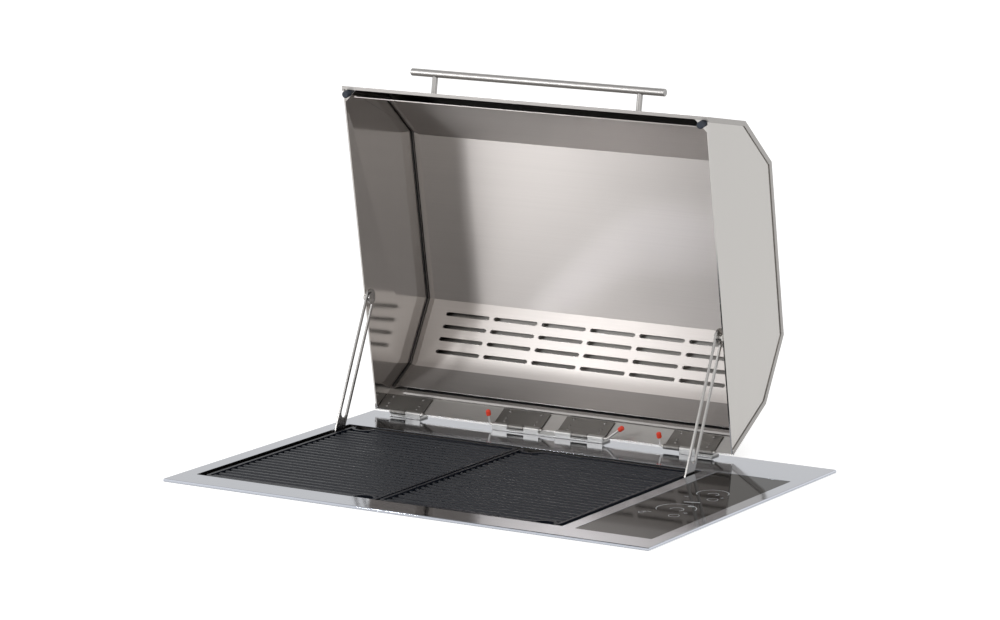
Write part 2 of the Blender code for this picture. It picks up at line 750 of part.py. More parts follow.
# Cable gland through the casing's rear wall
gland_profile = (
    (-GLAND_TAIL_LENGTH, GLAND_RADIUS),
    (CASING_SHEET / 2 + CLEARANCE, GLAND_RADIUS),
    (CASING_SHEET / 2 + CLEARANCE, GLAND_NUT_RADIUS),
    (CASING_SHEET / 2 + GLAND_NUT_LENGTH, GLAND_NUT_RADIUS),
    (CASING_SHEET / 2 + GLAND_NUT_LENGTH * 2, GLAND_RADIUS),
)
gland_start = (GLAND_X, CASING_REAR - CASING_SHEET / 2, GLAND_RISE)
gland = turned(gland_profile, gland_start, (0, 1, 0))
gland_bore = rod(
    (GLAND_X, CASING_REAR - GLAND_TAIL_LENGTH - OVERRUN, GLAND_RISE),
    (GLAND_X, CASING_REAR + GLAND_NUT_LENGTH * 2 + OVERRUN, GLAND_RISE),
    GLAND_BORE,
)
piece("cable_gland", cut(gland, gland_bore), nylon)

# Clamps that pull the casing up under the worktop
for side_word, side in (("left", -1), ("right", 1)):
    for end_word, end in (("front", -1), ("rear", 1)):
        wall_y = end * (CASING_REAR + CLEARANCE)
        out_y = wall_y + end * CLAMP_REACH
        clamp_x = side * (CASING_RIGHT - CLAMP_FROM_CORNER)
        arm_top = WORKTOP_HEIGHT - CLAMP_BELOW_WORKTOP
        upright = box(
            (clamp_x - CLAMP_WIDTH / 2, min(wall_y, wall_y + end * CLAMP_SHEET), arm_top - CLAMP_HEIGHT),
            (clamp_x + CLAMP_WIDTH / 2, max(wall_y, wall_y + end * CLAMP_SHEET), arm_top),
        )
        arm = box(
            (clamp_x - CLAMP_WIDTH / 2, min(wall_y, out_y), arm_top - CLAMP_HEIGHT),
            (clamp_x + CLAMP_WIDTH / 2, max(wall_y, out_y), arm_top - CLAMP_HEIGHT + CLAMP_SHEET),
        )
        screw_y = wall_y + end * CLAMP_REACH / 2
        screw = turned(
            (
                (0, CLAMP_SCREW_RADIUS),
                (CLAMP_SCREW_LENGTH, CLAMP_SCREW_RADIUS),
                (CLAMP_SCREW_LENGTH, CLAMP_PAD_RADIUS),
                (CLAMP_SCREW_LENGTH + CLAMP_PAD_THICKNESS, CLAMP_PAD_RADIUS),
            ),
            (clamp_x, screw_y, arm_top - CLAMP_HEIGHT - CLAMP_PAD_THICKNESS),
            (0, 0, 1),
            SMALL_SIDES,
        )
        piece(f"clamp_{end_word}_{side_word}", fuse(upright, arm, screw), zinc)

# Rails that carry the grates at the front and rear of the well
RAIL_LEFT = WELL_LEFT + GRATE_RAIL_SIDE_GAP
RAIL_RIGHT = WELL_RIGHT - GRATE_RAIL_SIDE_GAP
SOCKET_TOP = ELEMENT_Z - ELEMENT_HEAD_HEIGHT / 2 - CLEARANCE
SOCKET_LOW = SOCKET_TOP - SOCKET_HEIGHT
rail_top = GRATE_UNDER - CLEARANCE
rail_foot = rail_top - RAIL_SHEET
for word, wall_y, end in (("front", WELL_FRONT, 1), ("rear", WELL_REAR, -1)):
    seat = sorted((wall_y, wall_y + end * GRATE_RAIL_FOOT))
    web = sorted((wall_y, wall_y + end * RAIL_SHEET))
    rail = fuse(
        box((RAIL_LEFT, seat[0], rail_foot), (RAIL_RIGHT, seat[1], rail_top)),
        box((RAIL_LEFT, web[0], rail_foot - GRATE_RAIL_FOOT), (RAIL_RIGHT, web[1], rail_top)),
    )
    if word == "rear":
        notches = []
        for centre in HALF_CENTRES:
            notch_half = SOCKET_WIDTH / 2 + RAIL_SHEET
            notches.append(
                box(
                    (centre - notch_half, wall_y - OVERRUN * 2, rail_foot - OVERRUN * 2),
                    (centre + notch_half, wall_y + OVERRUN, rail_foot - RAIL_SHEET),
                )
            )
        rail = cut(rail, gather(*notches))
    piece(f"grate_rail_{word}", rail, bright)


def element_path():
    """The heater's bends, from one side of its head round to the other."""
    inner, middle, outer = [share * GRATE_WIDTH for share in ELEMENT_RUN_SHARES]
    bend = (middle - inner) / 2
    head_y = ELEMENT_HEAD_FRONT + ELEMENT_HEAD_DEPTH / 2
    left = [(-ELEMENT_HEAD_WIDTH / 4, head_y)]
    left += arc((-outer + bend, head_y - bend), bend, 90, 180, ARC_STEPS // 2)
    left += arc((-(outer + middle) / 2, ELEMENT_FRONT), bend, 180, 360)
    left += arc((-(middle + inner) / 2, ELEMENT_REAR), bend, 180, 0)
    left += arc((0, ELEMENT_FRONT), inner, 180, 270, ARC_STEPS // 2)
    right = [(-x, y) for x, y in reversed(left[:-1])]
    return left + right


def element(centre):
    """A tubular heater with its head, two blades and the cross bars that rest on the tray."""
    path = element_path()
    tube = sweep(
        [(centre + x, y, ELEMENT_Z) for x, y in path], [ELEMENT_RADIUS] * len(path), SMALL_SIDES
    )
    head_rear = ELEMENT_HEAD_FRONT + ELEMENT_HEAD_DEPTH
    head = box(
        (centre - ELEMENT_HEAD_WIDTH / 2, ELEMENT_HEAD_FRONT, ELEMENT_Z - ELEMENT_HEAD_HEIGHT / 2),
        (centre + ELEMENT_HEAD_WIDTH / 2, head_rear, ELEMENT_Z + ELEMENT_HEAD_HEIGHT / 2),
    )
    blades = []
    for side in (-1, 1):
        blade_x = centre + side * BLADE_SPACING / 2
        blade_y = ELEMENT_HEAD_FRONT + ELEMENT_HEAD_DEPTH / 2
        blades.append(
            box(
                (blade_x - BLADE_THICKNESS / 2, blade_y - BLADE_WIDTH / 2, SOCKET_TOP - BLADE_LENGTH),
                (blade_x + BLADE_THICKNESS / 2, blade_y + BLADE_WIDTH / 2, ELEMENT_Z),
            )
        )
    bars = []
    for bar_y in (ELEMENT_FRONT + BRACE_FROM_FRONT, ELEMENT_REAR - BRACE_FROM_REAR):
        bars.append(
            box(
                (centre - TRAY_WIDTH / 2 - TRAY_FLANGE, bar_y - BRACE_WIDTH / 2, BRACE_UNDER),
                (centre + TRAY_WIDTH / 2 + TRAY_FLANGE, bar_y + BRACE_WIDTH / 2, BRACE_TOP),
            )
        )
    return fuse(head, tube, gather(*blades), gather(*bars))


def socket(centre):
    """The ceramic block that the heater's blades push into."""
    blade_y = ELEMENT_HEAD_FRONT + ELEMENT_HEAD_DEPTH / 2
    slots = []
    for side in (-1, 1):
        blade_x = centre + side * BLADE_SPACING / 2
        half = BLADE_THICKNESS / 2 + BLADE_SLOT_PLAY
        slots.append(
            box(
                (
                    blade_x - half,
                    blade_y - BLADE_WIDTH / 2 - BLADE_SLOT_PLAY,
                    SOCKET_TOP - BLADE_LENGTH - BLADE_SLOT_PLAY * 2,
                ),
                (blade_x + half, blade_y + BLADE_WIDTH / 2 + BLADE_SLOT_PLAY, SOCKET_TOP + OVERRUN),
            )
        )
    block = box(
        (centre - SOCKET_WIDTH / 2, ELEMENT_HEAD_FRONT, SOCKET_LOW),
        (centre + SOCKET_WIDTH / 2, SOCKET_FRONT, SOCKET_TOP),
    )
    return cut(block, gather(*slots))


def tray(centre):
    """A pressed drip tray with a rolled-out rim."""
    left = centre - TRAY_WIDTH / 2
    right = centre + TRAY_WIDTH / 2
    floor = WELL_FLOOR + WELL_SHEET + CLEARANCE
    top = BRACE_UNDER - CLEARANCE
    body = box((left, TRAY_FRONT, floor), (right, TRAY_REAR, top))
    rim = box(
        (left - TRAY_FLANGE, TRAY_FRONT - TRAY_FLANGE, top - TRAY_SHEET),
        (right + TRAY_FLANGE, TRAY_REAR + TRAY_FLANGE, top),
    )
    hollow = box(
        (left + TRAY_SHEET, TRAY_FRONT + TRAY_SHEET, floor + TRAY_SHEET),
        (right - TRAY_SHEET, TRAY_REAR - TRAY_SHEET, top + OVERRUN),
    )
    return cut(fuse(body, rim), hollow)


def grate_outline(inset, notch_radius):
    """A grate's edge drawn in by an inset, with notches at rear left and front right."""
    half_x = GRATE_WIDTH / 2 - inset
    half_y = (GRATE_REAR - GRATE_FRONT) / 2 - inset
    corner = GRATE_CORNER - inset / 2
    notch_x = GRATE_WIDTH / 2 - NOTCH_FROM_SIDE
    reach = math.degrees(math.asin(inset / notch_radius))
    side = arc((half_x - corner, half_y - corner), corner, 0, 90, ARC_STEPS // 2)
    to_side = NOTCH_FROM_SIDE - inset
    if to_side > notch_radius:
        side += arc((-notch_x, half_y + inset), notch_radius, -reach, reach - 180, ARC_STEPS * 2)
        side += arc((-half_x + corner, half_y - corner), corner, 90, 180, ARC_STEPS // 2)
    else:
        last = -math.degrees(math.acos(-to_side / notch_radius))
        side += arc((-notch_x, half_y + inset), notch_radius, -reach, last, ARC_STEPS * 2)
    return side + [(-x, -y) for x, y in side]


def grate(centre):
    """A cast plate with a raised rim, cross ribs and two finger notches."""
    middle_y = (GRATE_FRONT + GRATE_REAR) / 2

    def placed(outline):
        return [(centre + x, middle_y + y) for x, y in outline]

    body = prism(placed(grate_outline(0, NOTCH_RADIUS)), "z", GRATE_UNDER, GRATE_TOP)
    inner = grate_outline(GRATE_RIM_WIDTH, NOTCH_RADIUS + GRATE_RIM_WIDTH)
    body = cut(body, prism(placed(inner), "z", GRATE_FLOOR, GRATE_TOP + OVERRUN))
    span = GRATE_REAR - GRATE_FRONT - GRATE_RIM_WIDTH * 2
    pitch = span / RIB_COUNT
    ribs = []
    low = GRATE_FLOOR - SINK
    high = GRATE_FLOOR + RIB_HEIGHT
    half_length = GRATE_WIDTH / 2 - GRATE_RIM_WIDTH - RIB_END_GAP
    for index in range(RIB_COUNT):
        rib_y = GRATE_FRONT + GRATE_RIM_WIDTH + pitch * (index + 1 / 2)
        section = [
            (rib_y - RIB_WIDTH / 2, low),
            (rib_y + RIB_WIDTH / 2, low),
            (rib_y + RIB_TOP_WIDTH / 2, high),
            (rib_y - RIB_TOP_WIDTH / 2, high),
        ]
        ribs.append(prism(section, "x", centre - half_length, centre + half_length))
    notch_x = GRATE_WIDTH / 2 - NOTCH_FROM_SIDE
    keep_out = []
    for spot_x, spot_y in ((centre - notch_x, GRATE_REAR), (centre + notch_x, GRATE_FRONT)):
        keep_out.append(
            rod(
                (spot_x, spot_y, low - OVERRUN),
                (spot_x, spot_y, high + OVERRUN),
                NOTCH_RADIUS + GRATE_RIM_WIDTH + RIB_END_GAP,
                FINE_SIDES,
            )
        )
    return fuse(body, cut(gather(*ribs), gather(*keep_out)))


BRACE_TOP = ELEMENT_Z - ELEMENT_RADIUS + SINK
BRACE_UNDER = BRACE_TOP - BRACE_THICKNESS
for word, centre in zip(("left", "right"), HALF_CENTRES):
    piece(f"element_socket_{word}", socket(centre), ceramic)
    piece(f"element_{word}", element(centre), heater)
    piece(f"drip_tray_{word}", tray(centre), bright)
    piece(f"grate_{word}", grate(centre), iron)

# Lid's carrier: an empty on the hinge axis; in it the shut lid lies forward along -Y, up along +Z
lid = pivot("lid_axis", (0, HINGE_Y, HINGE_Z), -LID_OPEN_ANGLE)
EDGE = LID_EDGE_RISE
LID_PATH = (
    (LID_BACK, EDGE),
    (LID_BACK - LID_CHAMFER_INSET, EDGE + LID_CHAMFER_HEIGHT),
    (LID_BACK - LID_TOP_INSET, EDGE + LID_TOP_HEIGHT),
    (LID_FRONT + LID_TOP_INSET, EDGE + LID_TOP_HEIGHT),
    (LID_FRONT + LID_CHAMFER_INSET, EDGE + LID_CHAMFER_HEIGHT),
    (LID_FRONT, EDGE),
)


def inset_path(gaps, low_rear, low_front):
    """The lid's section moved inwards by a gap for each facet, ending at two heights."""
    lines = []
    for (start, end), gap in zip(zip(LID_PATH, LID_PATH[1:]), gaps):
        along = Vector((end[0] - start[0], end[1] - start[1])).normalized()
        inward = Vector((-along.y, along.x))
        lines.append((Vector(start) + inward * gap, along))

    def at_height(line, height):
        point, along = line
        return point + along * ((height - point.y) / along.y)

    def crossing(one, two):
        across = two[0] - one[0]
        turn = one[1].x * two[1].y - one[1].y * two[1].x
        return one[0] + one[1] * ((across.x * two[1].y - across.y * two[1].x) / turn)

    path = [at_height(lines[0], low_rear)]
    path += [crossing(one, two) for one, two in zip(lines, lines[1:])]
    path.append(at_height(lines[-1], low_front))
    return [(point.x, point.y) for point in path]


FACETS = len(LID_PATH) - 1
LID_BELOW = EDGE - OVERRUN

# Skin: one folded sheet, with lips over the side panels and a hem along the front
skin = prism(list(LID_PATH), "x", LID_LEFT, LID_RIGHT)
hollow = inset_path([SKIN_SHEET] * FACETS, LID_BELOW, EDGE + SKIN_SHEET)
hollow += [(LID_FRONT + SKIN_HEM, EDGE + SKIN_SHEET), (LID_FRONT + SKIN_HEM, LID_BELOW)]
side_window = inset_path([SKIN_LIP] * FACETS, LID_BELOW, LID_BELOW)
skin = cut(
    skin,
    prism(hollow, "x", LID_LEFT + SKIN_SHEET, LID_RIGHT - SKIN_SHEET),
    prism(side_window, "x", LID_LEFT - OVERRUN, LID_LEFT + SKIN_SHEET + OVERRUN),
    prism(side_window, "x", LID_RIGHT - SKIN_SHEET - OVERRUN, LID_RIGHT + OVERRUN),
)

# Front facet's own directions, for the handle
front_low = Vector(LID_PATH[-1])
front_up = (Vector(LID_PATH[-2]) - front_low).normalized()
front_out = Vector((-front_up.y, front_up.x))
handle_foot = front_low + front_up * HANDLE_UP_FACET
handle_axis = handle_foot + front_out * HANDLE_STANDOFF
post_reach = HANDLE_LENGTH / 2 - POST_FROM_END
POSTS = (("left", LID_CENTRE - post_reach), ("right", LID_CENTRE + post_reach))


def outward(x, distance):
    """A point on a handle post's axis, at a distance out from the front facet."""
    spot = handle_foot + front_out * distance
    return (x, spot.x, spot.y)


holes = [rod(outward(x, -OVERRUN), outward(x, OVERRUN), HANDLE_HOLE_RADIUS) for _, x in POSTS]
piece("lid_skin", cut(skin, *holes), brushed, lid)

# Side panels with a corner gusset for the bumper and the pin boss for the stay
STAY_X = {"left": WELL_LEFT + STAY_LEFT_INSET, "right": WELL_RIGHT - STAY_RIGHT_INSET}
panel_outline = inset_path([SKIN_SHEET + CLEARANCE] * FACETS, EDGE, EDGE + SKIN_SHEET + CLEARANCE)
panel_outline += [
    (LID_FRONT + SKIN_HEM + CLEARANCE, EDGE + SKIN_SHEET + CLEARANCE),
    (LID_FRONT + SKIN_HEM + CLEARANCE, EDGE),
]
GUSSET_LOW = EDGE + SKIN_SHEET + CLEARANCE
GUSSET_HIGH = GUSSET_LOW + SKIN_SHEET
gusset_front = inset_path([SKIN_SHEET + CLEARANCE * 2] * FACETS, EDGE, GUSSET_HIGH)[-1][0]
BUMPER_Y = LID_FRONT + BUMPER_FROM_FRONT
for word, side, outer, inner in (
    ("left", 1, LID_LEFT, SIDE_INNER_LEFT),
    ("right", -1, LID_RIGHT, SIDE_INNER_RIGHT),
):
    panel_outer = outer + side * (SKIN_SHEET + CLEARANCE)
    panel = prism(panel_outline, "x", min(panel_outer, inner), max(panel_outer, inner))
    root = panel_outer + side * SIDE_SHEET / 2
    gusset_outline = [
        (root, gusset_front),
        (inner + side * GUSSET_SPAN, gusset_front),
        (inner, gusset_front + GUSSET_SPAN),
        (root, gusset_front + GUSSET_SPAN),
    ]
    gusset = prism(gusset_outline, "z", GUSSET_LOW, GUSSET_HIGH)
    bumper_x = outer + side * BUMPER_FROM_SIDE
    stem_hole = rod(
        (bumper_x, BUMPER_Y, EDGE - OVERRUN),
        (bumper_x, BUMPER_Y, EDGE + OVERRUN),
        BUMPER_STEM_RADIUS + BUMPER_STEM_PLAY,
        SMALL_SIDES,
    )
    boss_end = STAY_X[word] - side * (STAY_SHEET / 2 + CLEARANCE)
    boss = rod(
        (root, -STAY_LID_FORWARD, STAY_LID_RISE),
        (boss_end, -STAY_LID_FORWARD, STAY_LID_RISE),
        STAY_BOSS_RADIUS,
    )
    piece(f"lid_side_{word}", cut(fuse(panel, gusset, boss), stem_hole), brushed, lid)

    # Bumper: a rubber foot below the hem's level, its stem and button through the gusset
    seat = GUSSET_LOW - CLEARANCE
    foot_low = EDGE - BUMPER_HEIGHT
    bumper = turned(
        (
            (0, BUMPER_RADIUS - BUMPER_ROUNDING),
            (BUMPER_ROUNDING, BUMPER_RADIUS),
            (seat - foot_low, BUMPER_RADIUS),
            (seat - foot_low, BUMPER_STEM_RADIUS),
            (GUSSET_HIGH + CLEARANCE - foot_low, BUMPER_STEM_RADIUS),
            (GUSSET_HIGH + CLEARANCE - foot_low, BUMPER_BUTTON_RADIUS),
            (GUSSET_HIGH + CLEARANCE + BUMPER_BUTTON_HEIGHT - foot_low, BUMPER_STEM_RADIUS),
        ),
        (bumper_x, BUMPER_Y, foot_low),
        (0, 0, 1),
    )
    piece(f"bumper_{word}", bumper, rubber, lid)

# Liner: a second folded sheet inside the skin, flared at its ends, with slots in its lower facet
LINER_GAPS = (
    LINER_REAR_GAP,
    LINER_SLOTTED_GAP,
    LINER_TOP_GAP,
    LINER_CHAMFER_GAP,
    LINER_FRONT_GAP,
)
LINER_LOW = EDGE + LINER_REAR_HEIGHT
LINER_LEFT = LID_LEFT + LINER_SIDE_GAP
LINER_RIGHT = LID_RIGHT - LINER_SIDE_GAP


def liner_section(x, rise):
    """The liner's closed section at a place across the lid, lifted towards the skin."""
    outside = [gap - rise - LINER_SHEET for gap in LINER_GAPS]
    inside = [gap - rise for gap in LINER_GAPS]
    outer_path = inset_path(outside, LINER_LOW, EDGE)
    inner_path = inset_path(inside, LINER_LOW, EDGE)
    return [(x, *point) for point in outer_path + inner_path[::-1]]


liner = loft(
    [
        liner_section(LINER_LEFT - LINER_FLARE_RUN, LINER_FLARE_RISE),
        liner_section(LINER_LEFT, 0),
        liner_section(LINER_RIGHT, 0),
        liner_section(LINER_RIGHT + LINER_FLARE_RUN, LINER_FLARE_RISE),
    ]
)
fold_path = inset_path(LINER_GAPS, LINER_LOW, EDGE)
slot_start = Vector(fold_path[2])
slot_down = (Vector(fold_path[1]) - slot_start).normalized()
slot_out = Vector((slot_down.y, -slot_down.x))
slot_room = LID_WIDTH - SLOT_FROM_LEFT * 2 - SLOT_LENGTH
slot_cuts = []
for column in range(1 + math.floor(slot_room / SLOT_PITCH)):
    slot_left = LID_LEFT + SLOT_FROM_LEFT + column * SLOT_PITCH
    ends = arc((slot_left + SLOT_WIDTH / 2, 0), SLOT_WIDTH / 2, 90, 270, ARC_STEPS // 2)
    ends += arc(
        (slot_left + SLOT_LENGTH - SLOT_WIDTH / 2, 0), SLOT_WIDTH / 2, 270, 450, ARC_STEPS // 2
    )
    for row in range(SLOT_ROWS):
        middle = slot_start + slot_down * (SLOT_FIRST_ROW + row * SLOT_ROW_PITCH)
        faces = []
        for depth in (-LINER_SHEET * 2, LINER_SHEET * 2):
            face = []
            for x, across in ends:
                spot = middle + slot_down * across + slot_out * depth
                face.append((x, spot.x, spot.y))
            faces.append(face)
        slot_cuts.append(loft(faces))
corner_cuts = []
for low, high in ((LID_LEFT, LINER_LEFT), (LINER_RIGHT, LID_RIGHT)):
    corner_cuts.append(
        box((low, LID_FRONT, EDGE - OVERRUN), (high, LID_FRONT / 2, EDGE + LINER_CORNER_CUT))
    )
piece("lid_liner", cut(liner, gather(*slot_cuts), gather(*corner_cuts)), brushed, lid)

# Bent strips that carry the liner's ends, standing on the skin beside the side panels
EDGE_STRIP_FRONT = EDGE + LINER_CORNER_CUT
strip_outer = inset_path([SKIN_SHEET + CLEARANCE] * FACETS, LINER_LOW, EDGE_STRIP_FRONT)
strip_gaps = [gap - LINER_FLARE_RISE for gap in LINER_GAPS]
strip_inner = inset_path(strip_gaps, LINER_LOW, EDGE_STRIP_FRONT)
for word, side, inner in (("left", 1, SIDE_INNER_LEFT), ("right", -1, SIDE_INNER_RIGHT)):
    near = inner + side * CLEARANCE
    far = near + side * EDGE_STRIP_SHEET
    strip = prism(strip_outer + strip_inner[::-1], "x", min(near, far), max(near, far))
    piece(f"liner_edge_{word}", strip, bright, lid)

# Rail along the rear facet, between the hinge leaves and the liner's rear edge
rear_low = Vector(LID_PATH[0])
rear_up = (Vector(LID_PATH[1]) - rear_low).normalized()
rear_in = Vector((-rear_up.y, rear_up.x))


def on_rear(up, inside):
    """A point of the rear facet: a distance up from its edge and a distance inside its outer face."""
    spot = rear_low + rear_up * up + rear_in * inside
    return (spot.x, spot.y)


rail_seat = SKIN_SHEET + CLEARANCE
rail_section = [
    on_rear(RAIL_START, rail_seat),
    on_rear(RAIL_START, rail_seat + RAIL_HEIGHT - RAIL_SHOULDER),
    on_rear(RAIL_START + RAIL_SHOULDER, rail_seat + RAIL_HEIGHT),
    on_rear(RAIL_START + RAIL_WIDTH - RAIL_SHOULDER, rail_seat + RAIL_HEIGHT),
    on_rear(RAIL_START + RAIL_WIDTH, rail_seat + RAIL_HEIGHT - RAIL_SHOULDER),
    on_rear(RAIL_START + RAIL_WIDTH, rail_seat),
]
rail = prism(rail_section, "x", LID_LEFT + RAIL_SIDE_GAP, LID_RIGHT - LINER_SIDE_GAP)
piece("liner_rear_rail", rail, bright, lid)

# Handle: a round bar on two posts, each held by a screw from inside the skin
bar_start = (LID_CENTRE - HANDLE_LENGTH / 2, handle_axis.x, handle_axis.y)
bar = turned(
    (
        (0, HANDLE_RADIUS - HANDLE_END_BEVEL),
        (HANDLE_END_BEVEL, HANDLE_RADIUS),
        (HANDLE_LENGTH - HANDLE_END_BEVEL, HANDLE_RADIUS),
        (HANDLE_LENGTH, HANDLE_RADIUS - HANDLE_END_BEVEL),
    ),
    bar_start,
    (1, 0, 0),
)
saddle_bar = rod(
    bar_start,
    (LID_CENTRE + HANDLE_LENGTH / 2, handle_axis.x, handle_axis.y),
    HANDLE_RADIUS + CLEARANCE,
    FINE_SIDES,
)
piece("handle_bar", bar, brushed, lid)
for word, x in POSTS:
    post = rod(outward(x, CLEARANCE), outward(x, HANDLE_STANDOFF), POST_RADIUS)
    thread_end = outward(x, HANDLE_SCREW_REACH + CLEARANCE)
    thread = rod(outward(x, -OVERRUN), thread_end, HANDLE_HOLE_RADIUS)
    piece(f"handle_post_{word}", cut(post, saddle_bar, thread), brushed, lid)
    head_seat = SKIN_SHEET + CLEARANCE
    screw = turned(
        (
            (0, HANDLE_SCREW_HEAD_RADIUS),
            (HANDLE_SCREW_HEAD_HEIGHT, HANDLE_SCREW_HEAD_RADIUS),
            (HANDLE_SCREW_HEAD_HEIGHT, HANDLE_SCREW_RADIUS),
            (HANDLE_SCREW_HEAD_HEIGHT + head_seat + HANDLE_SCREW_REACH, HANDLE_SCREW_RADIUS),
        ),
        outward(x, -head_seat - HANDLE_SCREW_HEAD_HEIGHT),
        Vector(outward(x, 1)) - Vector(outward(x, 0)),
    )
    piece(f"handle_screw_{word}", screw, zinc, lid)

# Hinges: leaves on the lid's rear facet, brackets on the plate, and loose pins
KNUCKLE_LENGTH = (LEAF_WIDTH - KNUCKLE_GAP * 2) / 3
KNUCKLE_STEP = KNUCKLE_LENGTH + KNUCKLE_GAP
LEAF_LEFTS = [LID_LEFT + share * LID_WIDTH for share in LEAF_PLACE_SHARES]
KNUCKLES = (
    ("none", "lid", "fixed"),
    ("fixed", "lid", "fixed"),
    ("fixed", "lid", "fixed"),
    ("lid", "fixed", "lid"),
)
LEAF_INSIDE = SKIN_SHEET + CLEARANCE
LEAF_REACH_DOWN = -SINK


def knuckle_span(left, index):
    """The ends of one of a leaf's three knuckles."""
    start = left + index * KNUCKLE_STEP
    return start, start + KNUCKLE_LENGTH


def leaf_strip(start, end, low, high):
    """A stretch of leaf between two distances up the rear facet."""
    section = [
        on_rear(low, LEAF_INSIDE),
        on_rear(low, LEAF_INSIDE + LEAF_SHEET),
        on_rear(high, LEAF_INSIDE + LEAF_SHEET),
        on_rear(high, LEAF_INSIDE),
    ]
    return prism(section, "x", start, end)


def leaf(left, kinds):
    """A lid leaf with its knuckles and four studs."""
    made = leaf_strip(left, left + LEAF_WIDTH, LEAF_CLEAR_START, LEAF_LENGTH)
    bores = []
    for index, kind in enumerate(kinds):
        if kind == "lid":
            start, end = knuckle_span(left, index)
            made = fuse(made, leaf_strip(start, end, LEAF_REACH_DOWN, LEAF_CLEAR_START + OVERRUN))
            made = fuse(made, rod((start, 0, 0), (end, 0, 0), KNUCKLE_RADIUS, FINE_SIDES))
            bores.append(rod((start - OVERRUN, 0, 0), (end + OVERRUN, 0, 0), BORE_RADIUS))
    middle = left + LEAF_WIDTH / 2
    studs = []
    for up in (STUD_LOWER, STUD_UPPER):
        for side in (-1, 1):
            x = middle + side * STUD_SPREAD / 2
            foot = (x, *on_rear(up, LEAF_INSIDE + LEAF_SHEET - SINK))
            tip = (x, *on_rear(up, LEAF_INSIDE + LEAF_SHEET + STUD_HEIGHT))
            dome = ((0, STUD_RADIUS), (SINK, STUD_RADIUS), (SINK + STUD_HEIGHT, STUD_RADIUS / 2))
            studs.append(turned(dome, foot, Vector(tip) - Vector(foot), SMALL_SIDES))
    return cut(fuse(made, gather(*studs)), *bores)


def bracket(leaves):
    """A bent bracket on the plate: a web in front of the axis, a foot behind it, and knuckles."""
    first_left, first_kinds = leaves[0]
    left = knuckle_span(first_left, 0 if first_kinds[0] == "fixed" else 1)[0]
    right = leaves[-1][0] + LEAF_WIDTH
    under = -HINGE_RISE + CLEARANCE
    web_front = -KNUCKLE_RADIUS
    web = box(
        (left, web_front, under), (right, web_front + LEAF_SHEET, WEB_LOW_HEIGHT - HINGE_RISE)
    )
    foot = box((left, web_front, under), (right, FOOT_LENGTH, under + FOOT_THICKNESS))
    made = fuse(web, foot)
    bores = []
    for leaf_left, kinds in leaves:
        for index, kind in enumerate(kinds):
            if kind != "fixed":
                continue
            start, end = knuckle_span(leaf_left, index)
            made = fuse(
                made,
                box((start, web_front, under + FOOT_THICKNESS / 2), (end, web_front + LEAF_SHEET, 0)),
                rod((start, 0, 0), (end, 0, 0), KNUCKLE_RADIUS, FINE_SIDES),
            )
            bores.append(rod((start - OVERRUN, 0, 0), (end + OVERRUN, 0, 0), BORE_RADIUS))
            screw_at = ((start + end) / 2, (FOOT_LENGTH + KNUCKLE_RADIUS) / 2)
            top = under + FOOT_THICKNESS
            low = (*screw_at, top - SINK)
            high = (*screw_at, top + FOOT_SCREW_HEIGHT)
            made = fuse(made, rod(low, high, FOOT_SCREW_RADIUS, SMALL_SIDES))
    return cut(made, *bores)


hinge_seat = pivot("hinge_axis", (0, HINGE_Y, HINGE_Z), 0)
for number, (left, kinds) in enumerate(zip(LEAF_LEFTS, KNUCKLES), 1):
    piece(f"lid_leaf_{number}", leaf(left, kinds), dark_steel, lid)
hinges = list(zip(LEAF_LEFTS, KNUCKLES))
for name, leaves in (
    ("hinge_bracket_1", hinges[:1]),
    ("hinge_bracket_23", hinges[1:3]),
    ("hinge_bracket_4", hinges[3:]),
):
    piece(name, bracket(leaves), brushed, hinge_seat)


def lever_pin(left, right, end, height, tilt):
    """A pin whose end is bent up into a lever; end is -1 at the left, 1 at the right."""
    bend_x = (left if end < 0 else right) + end * (LEVER_BEND + LEVER_OFFSET)
    tip_x = right + PIN_TIP if end < 0 else left - PIN_TIP
    pull = Vector((math.sin(tilt), -math.cos(tilt), 0))
    corner = Vector((bend_x, 0, 0))
    along = Vector((end, 0, 0))
    bend = []
    for step in range(ARC_STEPS):
        turn = step / (ARC_STEPS - 1)
        start = corner - along * LEVER_BEND * (1 - turn)
        finish_point = corner + pull * LEVER_BEND * turn
        bend.append(start * (1 - turn) + finish_point * turn)
    inner_x = left if end < 0 else right
    straight = [(tip_x, 0, 0), (tip_x + end * PIN_TIP / 3, 0, 0), (inner_x, 0, 0)]
    radii = [PIN_RADIUS * 2 / 3, PIN_RADIUS, PIN_RADIUS]
    top = corner + pull * height
    made = sweep(
        straight + bend + [top], radii + [LEVER_RADIUS] * (len(bend) + 1), SMALL_SIDES
    )
    cap_start = corner + pull * (height - CAP_COVER)
    cap = turned(
        (
            (0, CAP_RADIUS * 5 / 6),
            (CAP_RADIUS / 3, CAP_RADIUS),
            (CAP_HEIGHT - CAP_RADIUS / 2, CAP_RADIUS),
            (CAP_HEIGHT, CAP_RADIUS / 2),
        ),
        cap_start,
        pull,
    )
    sleeve = rod(cap_start - pull * OVERRUN, top + pull * CLEARANCE, LEVER_RADIUS + CLEARANCE)
    return made, cut(cap, sleeve)


